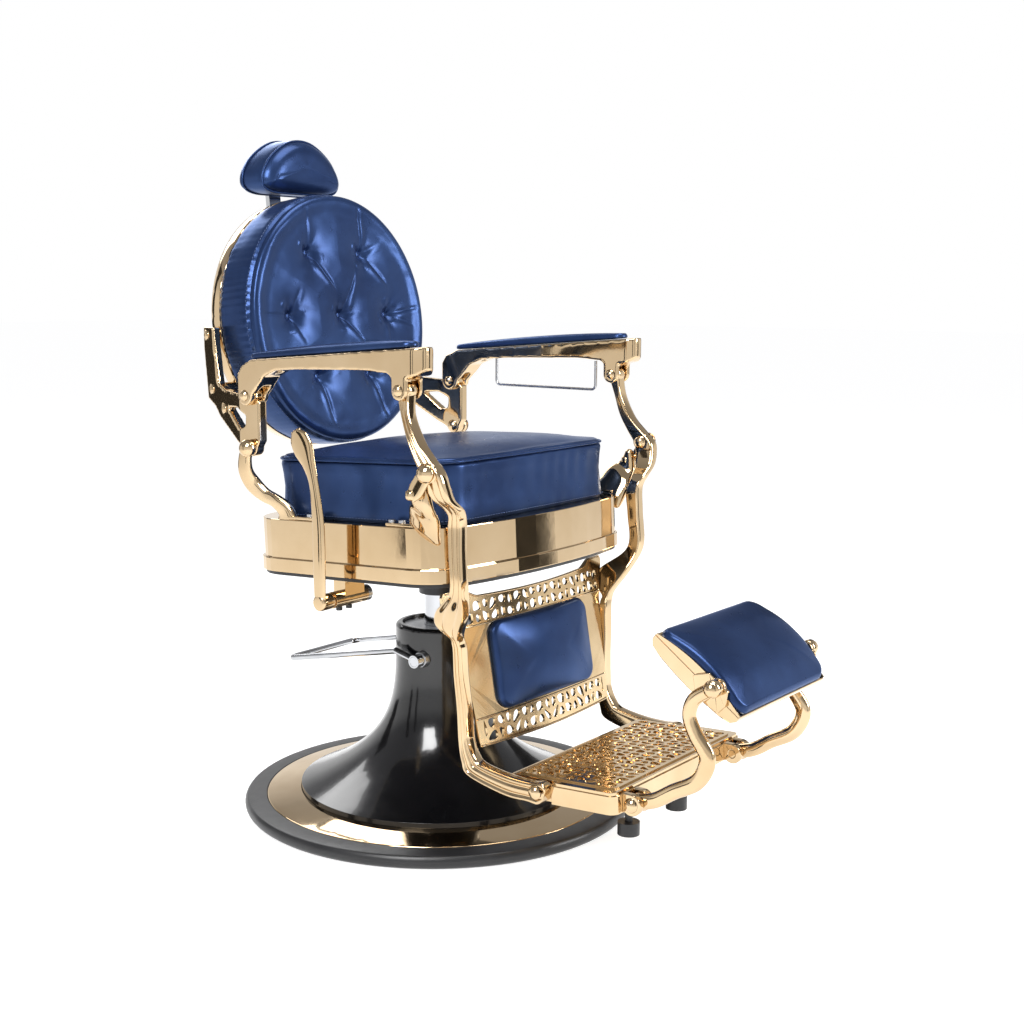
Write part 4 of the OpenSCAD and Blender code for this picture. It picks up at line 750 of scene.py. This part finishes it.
def arm_matrix(sign):
    length, spread = ARM_REAR[0] - ARM_FRONT[0], ARM_FRONT[1] - ARM_REAR[1]
    x = ARM_REAR[1] + spread * (ARM_REAR[0] - ARM_MID) / length
    z = ARM_TOP - (ARM_MID - ARM_TOP_Y) * ARM_DROP / ARM_RUN
    m = Matrix.Translation(Vector((sign * x, ARM_MID, z)))
    m = m @ Matrix.Rotation(sign * math.atan(spread / length), 4, "Z")
    return m @ Matrix.Rotation(-math.atan(ARM_DROP / ARM_RUN), 4, "X")


for side_name, sign in SIDES:
    side = [(0.004, 0.0004), (0.0010, 0.0015), (0.0002, 0.0040), (0.0010, 0.0068), (0.0026, 0.0092)]
    rings = pad_rings(0.0165, 0.178, 0.0162, side, 0.0060, count=150, top_steps=8, power=2.2)
    verts, faces = rings_mesh(rings)
    soft("arm_cover_" + side_name, apply(arm_matrix(sign), verts), faces, "armrest_" + side_name,
         "armrest_pad_" + side_name)


# Calf pad on the leg panel

# the leg panel's bow: half its width and its depth
BOW_HALF, BOW = 0.157, 0.008

side = [(0.006, 0.0), (0.0010, 0.0015), (0.0, 0.0045), (0.0012, 0.0090), (0.0040, 0.0125)]
rings = pad_rings(0.1285, 0.0705, 0.024, side, 0.0085, lambda x, y: 0.0005 * wobble(x, y, x, 0.03, 0.9),
                  count=160)
for r in rings:
    r[:, 2] -= BOW * (r[:, 0] / BOW_HALF) ** 2
verts, faces = rings_mesh(rings, "strip")
turn = Matrix.Translation(Vector((0, -0.0083, -0.115))) @ Matrix.Rotation(math.radians(90), 4, "X")
calf_pad = soft("calf_pad", apply(PANEL @ turn, verts), faces, "legs", "leg_panel_pad", levels=0)
puff(calf_pad, 4.0, 0.003)


# Flip pad: a saddle, arched along the slope

def saddle(y):
    return 0.0115 * (1 - (y / 0.084) ** 2)


side = [(0.006, 0.0008), (0.0010, 0.0020), (0.0002, 0.0060), (0.0010, 0.0105), (0.0034, 0.0140)]
rings = pad_rings(0.1345, 0.0835, 0.020, side, 0.0050, count=180, top_steps=16, power=4)
for r in rings:
    r[:, 2] += saddle(r[:, 1]) - 0.0003
verts, faces = rings_mesh(rings, "strip")
flip_cover = soft("flip_cover", apply(PAD, verts), faces, "flip_pad_body", "flip_pad", levels=0)
puff(flip_cover, 4.0, 0.0025)

# gold cheeks close the arch under the flip pad; each is a curved sheet with two faces and its edges
for side_name, sign in SIDES:
    verts = []
    for x in (0.1347, 0.1325):
        for y in np.linspace(-0.083, 0.083, 41):
            verts += [(sign * x, y, 0.0), (sign * x, y, saddle(y) + 0.0022)]
    k = len(verts) // 2
    faces = []
    for i in range(0, k - 2, 2):
        faces += [(i, i + 2, i + 3, i + 1), (k + i, k + i + 1, k + i + 3, k + i + 2),
                  (i + 1, i + 3, k + i + 3, k + i + 1), (i, k + i, k + i + 2, i + 2)]
    faces += [(0, 1, k + 1, k), (k - 2, 2 * k - 2, 2 * k - 1, k - 1)]
    recalc(make("flip_cheek_" + side_name, apply(PAD, verts), faces, GOLD, "flip_pad_body",
                smooth=False))


# Pierced scroll panels

def clip(poly, point, normal):
    """The part of a convex polygon on the side of the line that the normal points away from."""
    out = []
    for i in range(len(poly)):
        a, b = poly[i], poly[(i + 1) % len(poly)]
        da, db = (a - point) @ normal, (b - point) @ normal
        if da <= 0:
            out.append(a)
        if da * db < 0:
            out.append(a + (b - a) * da / (da - db))
    return out


# seeds further off than this don't meet, sides shorter than this go, and smaller holes are left out
FAR, SHORT, SMALL = 0.12, 0.0008, 6e-6


def cells(seeds, frame_poly, web):
    """Rounded openings: one for each seed, webs of that width between them."""
    found = []
    for i, s in enumerate(seeds):
        poly = [np.array(p, float) for p in frame_poly]
        for j, o in enumerate(seeds):
            length = np.linalg.norm(o - s)
            if i == j or not poly or length > FAR:
                continue
            d = (o - s) / length
            poly = clip(poly, (s + o) / 2 - d * web / 2, d)
        if len(poly) < 3:
            continue
        keep = [poly[0]]
        for q in poly[1:]:
            if np.linalg.norm(q - keep[-1]) > SHORT:
                keep.append(q)
        if len(keep) < 3:
            continue
        p = np.array(keep)
        for _ in range(3):
            nxt = np.roll(p, -1, axis=0)
            p = np.stack([p * 0.75 + nxt * 0.25, p * 0.25 + nxt * 0.75], axis=1).reshape(-1, 2)
        area = 0.5 * abs(np.dot(p[:, 0], np.roll(p[:, 1], -1)) - np.dot(p[:, 1], np.roll(p[:, 0], -1)))
        if area > SMALL:
            found.append(p)
    return found


def inside(p, poly):
    x, y = p
    xs, ys = poly[:, 0], poly[:, 1]
    xn, yn = np.roll(xs, -1), np.roll(ys, -1)
    c = ((ys > y) != (yn > y)) & (x < (xn - xs) * (y - ys) / (yn - ys + 1e-15) + xs)
    return np.count_nonzero(c) % 2 == 1


def pierced(name, outline, holes, thick, place, matrix, edge):
    """A plate with holes, its 2D points put in place by a function of (x, y, depth)."""
    verts, edges = [], []
    for points in [outline] + holes:
        base, m = len(verts), len(points)
        verts += [Vector((float(p[0]), float(p[1]))) for p in points]
        edges += [(base + i, base + (i + 1) % m) for i in range(m)]
    res = geometry.delaunay_2d_cdt(verts, edges, [], 1, 1e-7)
    pts = np.array([tuple(p) for p in res[0]])
    outline = np.array(outline)
    boxes = [(h, h.min(0), h.max(0)) for h in holes]
    tris = []
    for t in res[2]:
        c = pts[list(t)].mean(0)
        if inside(c, outline) and not any((c >= lo).all() and (c <= hi).all() and inside(c, h)
                                          for h, lo, hi in boxes):
            tris.append(tuple(t))
    n = len(pts)
    v = [place(p[0], p[1], 0.0) for p in pts] + [place(p[0], p[1], thick) for p in pts]
    f = tris + [tuple(i + n for i in reversed(t)) for t in tris]
    uses = {}
    for t in tris:
        for i in range(3):
            a, b = t[i], t[(i + 1) % 3]
            uses.setdefault((min(a, b), max(a, b)), []).append((a, b))
    for found in uses.values():
        if len(found) == 1:
            a, b = found[0]
            f.append((b, a, a + n, b + n))
    obj = make(name, apply(matrix, v), f, GOLD_RELIEF, "legs", smooth=False)
    recalc(obj)
    bevel(obj, edge, 2, 50)
    return obj


def scroll_seeds(half, low, high, step, rows, shift):
    """Seeds of a leafy openwork, the same on both sides of the middle."""
    seeds = []
    count = int(half / step) + 1
    for i in range(count):
        for k in range(rows):
            u = (k + 0.5) / rows
            x = (i + 0.5 + 0.28 * math.sin(2.3 * i + 1.9 * k + shift)) * step
            y = low + (high - low) * (u + 0.16 / rows * math.sin(3.1 * i + 2.2 * k + shift))
            if x < half:
                seeds += [np.array((x, y)), np.array((-x, y))]
    return seeds


BOW_R = (BOW_HALF ** 2 + BOW ** 2) / (2 * BOW)


def on_bow(x, y, d):
    """A point of the bowed leg panel: d goes from its front face backwards."""
    r = BOW_R - d
    a = x / BOW_R
    return (r * math.sin(a), BOW_R - BOW - r * math.cos(a), y)


PANEL_SIDE = [(0.000, 0.2165), (-0.010, 0.2120), (-0.030, 0.2030), (-0.059, 0.1930), (-0.118, 0.1862),
              (-0.184, 0.1802), (-0.234, 0.1772)]


def panel_half(y):
    """Half of the panel's width at that height, up to the legs' inner faces."""
    ys, xs = zip(*reversed(PANEL_SIDE))
    return float(np.interp(y, ys, xs))


def panel_top(x):
    dip = 0.005 * math.cos(math.pi * min(abs(x), BOW_HALF) / (2 * BOW_HALF))
    return 0.012 * float(smoothstep(0.140, 0.178, abs(x))) - dip


def sag(x):
    """Share of the lower edge's dip, full in the middle."""
    return math.cos(math.pi * x / 0.354)


def build_leg_panel():
    low_half = panel_half(-0.23)
    outline = [(x, panel_top(x)) for x in np.linspace(-0.2120, 0.2120, 61)]
    outline += [(panel_half(y), y) for y in np.linspace(0.006, -0.228, 30)]
    outline += [(x, -0.230 - 0.004 * sag(x)) for x in np.linspace(low_half, -low_half, 41)]
    outline += [(-panel_half(y), y) for y in np.linspace(-0.228, 0.006, 30)]
    holes = []
    for low, high, shift, half in ((-0.0425, -0.0095, 0.4, 0.190), (-0.2255, -0.1915, 2.1, 0.165)):
        poly = [(-half, low), (half, low), (half, high), (-half, high)]
        holes += cells(scroll_seeds(half, low, high, 0.0195, 2, shift), poly, 0.0060)
    return pierced("pierced_panel", outline, holes, 0.0048, on_bow, PANEL, 0.0010)


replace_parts(build_leg_panel(), "leg_panel")
rail_parts = []
for y, dip in ((None, 0.0), (-0.0462, 0.0), (-0.1880, 0.0), (-0.2290, 0.004)):
    reach = 0.208 if y is None else panel_half(y) - 0.003
    path = []
    for x in np.linspace(-reach, reach, 50):
        path.append(on_bow(x, panel_top(x) - 0.0018 if y is None else y - dip * sag(x), -0.0004))
    rail_parts.append(tube(path, 0.0017, sides=8))
v, f = joined(rail_parts)
make("panel_beading", apply(PANEL, v), f, GOLD, "legs")


# Leafy relief on the footrest

def build_tread():
    half, low, high, rim = 0.166, 0.016, 0.176, 0.006
    poly = [(-half, low), (half, low), (half, high), (-half, high)]
    holes = cells(scroll_seeds(half, low, high, 0.0150, 9, 1.1), poly, 0.0038)
    outline = rounded(half + rim, (high - low) / 2 + rim, 0.010, 120)
    outline[:, 1] += (high + low) / 2
    pierced("tread_relief", outline, holes, -0.0022, lambda x, y, d: (x, y, 0.0023 + d * 0.999), PLATE,
            0.0009)


build_tread()


# Cast legs with a fluted outer face

# front edge, rear edge and outer face from the knuckle, in millimetres: y and z, y and z, z and x
FRONT = [(42, 120), (40, 82), (20, 42), (-3, 18), (-21, 0), (-26, -21), (-27, -40), (-27, -55), (-23, -75),
         (-24, -119), (-27, -175), (-15, -215), (6, -250), (11, -264), (10, -278), (8, -320), (4, -385),
         (1, -418), (-10, -440), (-24, -450), (-69, -457), (-111, -458), (-135, -455), (-144, -463)]
REAR = [(62, 108), (51, 73), (42, 45), (27, 17), (16, 0), (10, -14), (6, -30), (-3, -62), (1, -85),
        (-2, -123), (-3, -179), (40, -216), (48, -240), (24, -258), (24, -270), (24, -310), (22, -380),
        (20, -422), (15, -452), (2, -473), (-67, -489), (-108, -489), (-126, -490), (-138, -482)]
OUTER = [(150, -8), (113, -8), (82, -4), (42, -3), (18, -1), (0, 0), (-21, -4), (-40, -13), (-55, -32),
         (-75, -44), (-119, -43), (-175, -43), (-215, -62), (-262, -81), (-278, -86), (-320, -88),
         (-385, -94), (-520, -94)]
KNEE = (-0.222, 0.609)
ARM_PIN = (-0.1695, 0.7235)
LEG_X = 0.297


# shares across the leg from its front edge with how far the face is set in there, outer then inner
LEG_SKIN, LEG_EDGE = 0.0006, 0.0075
FLUTES = [(0.0, LEG_EDGE), (0.015, 0.0040), (0.05, 0.0016), (0.10, 0.0006), (0.16, 0.0005), (0.22, 0.0016),
          (0.27, 0.0032), (0.32, 0.0034), (0.37, 0.0018), (0.43, 0.0008), (0.50, 0.0006), (0.57, 0.0008),
          (0.63, 0.0018), (0.68, 0.0034), (0.73, 0.0032), (0.78, 0.0016), (0.84, 0.0005), (0.90, 0.0006),
          (0.95, 0.0016), (0.985, 0.0040), (1.0, LEG_EDGE)]
INNER = [(1.0, 0.0160), (0.985, 0.0190), (0.95, 0.0212), (0.85, 0.0218), (0.5, 0.0218), (0.15, 0.0218),
         (0.05, 0.0212), (0.015, 0.0190), (0.0, 0.0160)]


def leg_mesh(sign):
    a, b = smooth_path(np.array(FRONT) * MM), smooth_path(np.array(REAR) * MM)
    o = smooth_path(np.array(OUTER) * MM, 6)[::-1]
    rings = []
    for i in range(len(a)):
        flat = smoothstep(0.0, 0.05, i / len(a)) * smoothstep(1.0, 0.93, i / len(a))
        ring = []
        for u, d in FLUTES + INNER:
            p = a[i] * (1 - u) + b[i] * u
            # the flutes run out towards both ends
            if d < LEG_EDGE:
                d = LEG_SKIN + (d - LEG_SKIN) * flat
            x = LEG_X + np.interp(p[1], o[:, 0], o[:, 1])
            ring.append((sign * (x - d), KNEE[0] + p[0], KNEE[1] + p[1]))
        rings.append(ring)
    return rings_mesh(rings)


def disc_x(x0, x1, at, r, soft_edge=0.0015):
    """A turned boss along X round the point at, its edges eased."""
    s = 1 if x1 > x0 else -1
    t = turns(40)
    rings = []
    for rr, x in ((r - soft_edge, x0), (r, x0 + s * soft_edge), (r, x1 - s * soft_edge), (r - soft_edge, x1)):
        rings.append(np.column_stack([np.full(len(t), x), at[0] + rr * np.cos(t), at[1] + rr * np.sin(t)]))
    return rings_mesh(rings)


def cast(name, parts, body, node):
    """A casting with a softer section than its solid's, from joined parts."""
    v, f = joined(parts)
    obj = make(name, v, f, GOLD, body, levels=1)
    recalc(obj)
    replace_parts(obj, node)


def seat_foot(sign, y0, y1):
    """A bracket's foot, flat on the skirt's ledge."""
    foot = [(sign * 0.2460, y, 0.0031) for y in np.linspace(y0, y1, 12)]
    v, f = strap(foot, np.full(12, 0.0130), np.full(12, 0.0058), out=(0, 0, 1), power=5)
    return apply(SEAT, v), f


for side_name, sign in SIDES:
    cast("cast_leg_" + side_name, [leg_mesh(sign), disc_x(sign * 0.2752, sign * 0.2966, KNEE, 0.0158),
                                   disc_x(sign * 0.2672, sign * 0.2888, ARM_PIN, 0.0128)],
         "legs", "leg_" + side_name)


# Recline lever, gooseneck arms and the seat's four brackets

# shares of the way from pin to tip in y and z, and the width there in millimetres
LEVER = [(0, 0, 22), (0.003, 0.2, 25), (0.006, 0.45, 25), (0.02, 0.6, 21), (0.04, 0.72, 19),
         (0.075, 0.82, 27), (0.115, 0.9, 41), (0.155, 0.965, 38), (0.175, 1, 22)]
LEVER_PIN, LEVER_REACH = (-0.005, 0.392), 0.259
rows = smooth_path([(LEVER_PIN[0] + LEVER_REACH * a, LEVER_PIN[1] + LEVER_REACH * b, w * MM)
                    for a, b, w in LEVER])
bar = strap([(-0.292, r[0], r[1]) for r in rows], rows[:, 2], np.full(len(rows), 0.0086), power=2.2)
cast("lever_bar", [bar, disc_x(-0.2965, -0.2683, LEVER_PIN, 0.0130)], "lever", "recline_lever")

GOOSE = [(0, 0, 24), (0.25, 0.05, 23), (0.5, 0.15, 23), (0.82, 0.27, 24), (0.95, 0.46, 25), (0.77, 0.64, 23),
         (0.69, 0.77, 21), (0.76, 0.9, 21), (1, 1, 20)]
GOOSE_LOW, GOOSE_TOP = (-0.492, 0.141), (-0.609, 0.328)
rows = smooth_path([(GOOSE_LOW[0] + (GOOSE_TOP[0] - GOOSE_LOW[0]) * a,
                     GOOSE_LOW[1] + (GOOSE_TOP[1] - GOOSE_LOW[1]) * b, w * MM) for a, b, w in GOOSE])
for side_name, sign in SIDES:
    path = [(sign * 0.150, r[0], r[1]) for r in rows]
    parts = [strap(path, rows[:, 2], np.full(len(rows), 0.0176), power=2.1)]
    for at, r in ((GOOSE_LOW, 0.0134), (GOOSE_TOP, 0.0129)):
        parts.append(disc_x(sign * 0.1411, sign * 0.1589, at, r, 0.002))
    cast("gooseneck_" + side_name, parts, "flip_arms", "flip_arm_" + side_name)

# rows of the rear bracket from the back's hinge pin: y, z, width, x and thickness, in millimetres
BACK_PIN = (0.170, 0.616)
REAR_STRAP = [(0, 0, 23, 269.6, 11), (7, -15, 26, 269.6, 11), (9, -37, 30, 267, 12), (2, -57, 30, 259.5, 15),
              (-18, -74, 24, 254, 16), (-40, -83, 22, 250, 16), (-58, -97, 30, 245.8, 16),
              (-62, -113, 44, 244.8, 15)]
rows = smooth_path([(BACK_PIN[0] + y * MM, BACK_PIN[1] + z * MM, w * MM, x * MM, t * MM)
                    for y, z, w, x, t in REAR_STRAP])
for side_name, sign in SIDES:
    parts = [strap([(sign * r[3], r[0], r[1]) for r in rows], rows[:, 2], rows[:, 4], power=2.8),
             disc_x(sign * 0.2645, sign * 0.2755, BACK_PIN, 0.0140), seat_foot(sign, 0.045, 0.121)]
    cast("rear_strap_" + side_name, parts, "seat", "rear_bracket_" + side_name)

# rows of the front bracket from the knee's pin: z, front edge, rear edge, x and thickness, in millimetres
SAIL = [(-21, 15, 29, 275.5, 15), (-34, 11, 36, 275.5, 17), (-48, 8, 47, 274, 18), (-61, 7, 60, 264, 19),
        (-75, 9, 68, 256, 19), (-88, 13, 75, 249, 18), (-97, 16, 80, 244, 15)]
CHEEK_X = 0.3003
rows = smooth_path([((f0 + r0) / 2 * MM, z * MM, (r0 - f0) * MM, x * MM, t * MM) for z, f0, r0, x, t in SAIL])
cheek = smooth_path([(0.000, 0.000, 0.024), (0.008, -0.012, 0.026), (0.018, -0.026, 0.026),
                     (0.026, -0.036, 0.018)])


def from_knee(x, y, z):
    return x, KNEE[0] + y, KNEE[1] + z


for side_name, sign in SIDES:
    bridge = [from_knee(sign * x, 0.027, -0.033) for x in np.linspace(0.274, 0.300, 8)]
    parts = [strap([from_knee(sign * r[3], r[0], r[1]) for r in rows], rows[:, 2], rows[:, 4], power=2.6,
                   sides=36),
             strap([from_knee(sign * CHEEK_X, r[0], r[1]) for r in cheek], cheek[:, 2],
                   np.full(len(cheek), 0.0058), power=2.8),
             strap(bridge, np.full(8, 0.017), np.full(8, 0.017), out=(0, 1, 0), power=3),
             disc_x(sign * 0.2974, sign * 0.3033, KNEE, 0.0140), seat_foot(sign, -0.178, -0.096)]
    cast("front_casting_" + side_name, parts, "seat", "front_bracket_" + side_name)


# Floor, light and camera

def stage_plane(name, corners, mat):
    mesh = bpy.data.meshes.new(name)
    mesh.from_pydata(corners, [], [(0, 1, 2, 3)])
    o = added(name, mesh)
    o.data.materials.append(mat)
    return o


FLOOR_HALF = 30
floor_mat = plastic("floor", (0.50, 0.50, 0.50), (0.52, 0.52, 0.52), 0.7, grain=0.0)
inputs(floor_mat.node_tree.nodes["Principled BSDF"],
       {"Emission Color": (1, 1, 1, 1), "Emission Strength": 0.78, "Specular IOR Level": 0.0})
stage_plane("floor", [(x * FLOOR_HALF, y * FLOOR_HALF, 0) for x, y in ((-1, -1), (1, -1), (1, 1), (-1, 1))],
            floor_mat)
card_mat = plastic("card", (0.015, 0.014, 0.013), (0.02, 0.018, 0.016), 0.9, grain=0.0)


def card(name, width, height, at, turn):
    """A dark upright card that only reflections see."""
    w = width / 2
    o = stage_plane(name, [(-w, 0, 0), (w, 0, 0), (w, 0, height), (-w, 0, height)], card_mat)
    o.location = (*at, 0)
    o.rotation_euler = (0, 0, math.radians(turn))
    o.visible_camera = o.visible_shadow = o.visible_diffuse = False


card("card_a", 0.30, 2.2, (-2.3, 1.45), 58)
card("card_b", 0.22, 2.0, (-2.65, 0.75), 75)
card("card_c", 0.45, 2.4, (-0.9, -3.0), 5)
card("card_d", 0.16, 2.4, (0.1, -3.1), 0)
card("card_e", 0.60, 2.0, (2.1, -2.3), 40)
card("card_f", 0.9, 2.2, (3.2, 0.4), 90)
card("card_g", 0.8, 2.2, (-0.6, 3.2), 0)

world = bpy.data.worlds.new("world")
bpy.context.scene.world = world
world.use_nodes = True
wt = world.node_tree
coord = wt.nodes.new("ShaderNodeTexCoord")
sep = wt.nodes.new("ShaderNodeSeparateXYZ")
wt.links.new(coord.outputs["Generated"], sep.inputs[0])
half_up = wt.nodes.new("ShaderNodeMath")
half_up.operation = "MULTIPLY_ADD"
half_up.inputs[1].default_value = half_up.inputs[2].default_value = 0.5
wt.links.new(sep.outputs["Z"], half_up.inputs[0])
# white up to a little above the horizon, then grey, so that the metals have something to reflect
sky = ramp(wt, half_up.outputs[0], [(0.0, 1.0), (0.60, 1.0), (0.70, (0.42, 0.42, 0.43)),
                                    (1.0, (0.30, 0.30, 0.31))])
bg = wt.nodes["Background"]
wt.links.new(sky, bg.inputs["Color"])
bg.inputs["Strength"].default_value = 1.0


def area(name, energy, size, location, target):
    data = bpy.data.lights.new(name, "AREA")
    data.energy = energy
    data.shape = "RECTANGLE"
    data.size, data.size_y = size
    o = added(name, data)
    o.location = location
    o.rotation_euler = (Vector(target) - Vector(location)).to_track_quat("-Z", "Y").to_euler()


area("key", 75, (1.0, 1.4), (-2.0, -0.6, 2.3), (0, 0, 0.6))
area("front", 60, (0.8, 1.6), (1.3, -2.6, 1.5), (0, -0.1, 0.6))
area("top", 45, (1.4, 1.4), (0.3, -0.4, 3.0), (0, 0, 0.5))
area("back_light", 26, (1.8, 1.0), (0.9, 2.0, 2.0), (0, 0, 0.7))

# the photo's camera, as solved: directions, place, and focal length in pixels of a frame 1024 wide
RIGHT = (0.59741, -0.80192, 0.00575)
UP = (0.11613, 0.0936, 0.98881)
FORWARD = (0.79349, 0.59005, -0.14904)
EYE = (-1.895123, -1.561439, 0.868423)
FOCAL, FRAME, SENSOR = 1479.521, 1024, 36.0

cam_data = bpy.data.cameras.new("camera")
cam_data.sensor_width = SENSOR
cam_data.lens = FOCAL / FRAME * SENSOR
cam_data.clip_start = 0.05
cam = added("camera", cam_data)
cam.matrix_world = Matrix([(RIGHT[i], UP[i], -FORWARD[i], EYE[i]) for i in range(3)] + [(0, 0, 0, 1)])
bpy.context.scene.camera = cam
bpy.context.scene.view_settings.view_transform = "Standard"
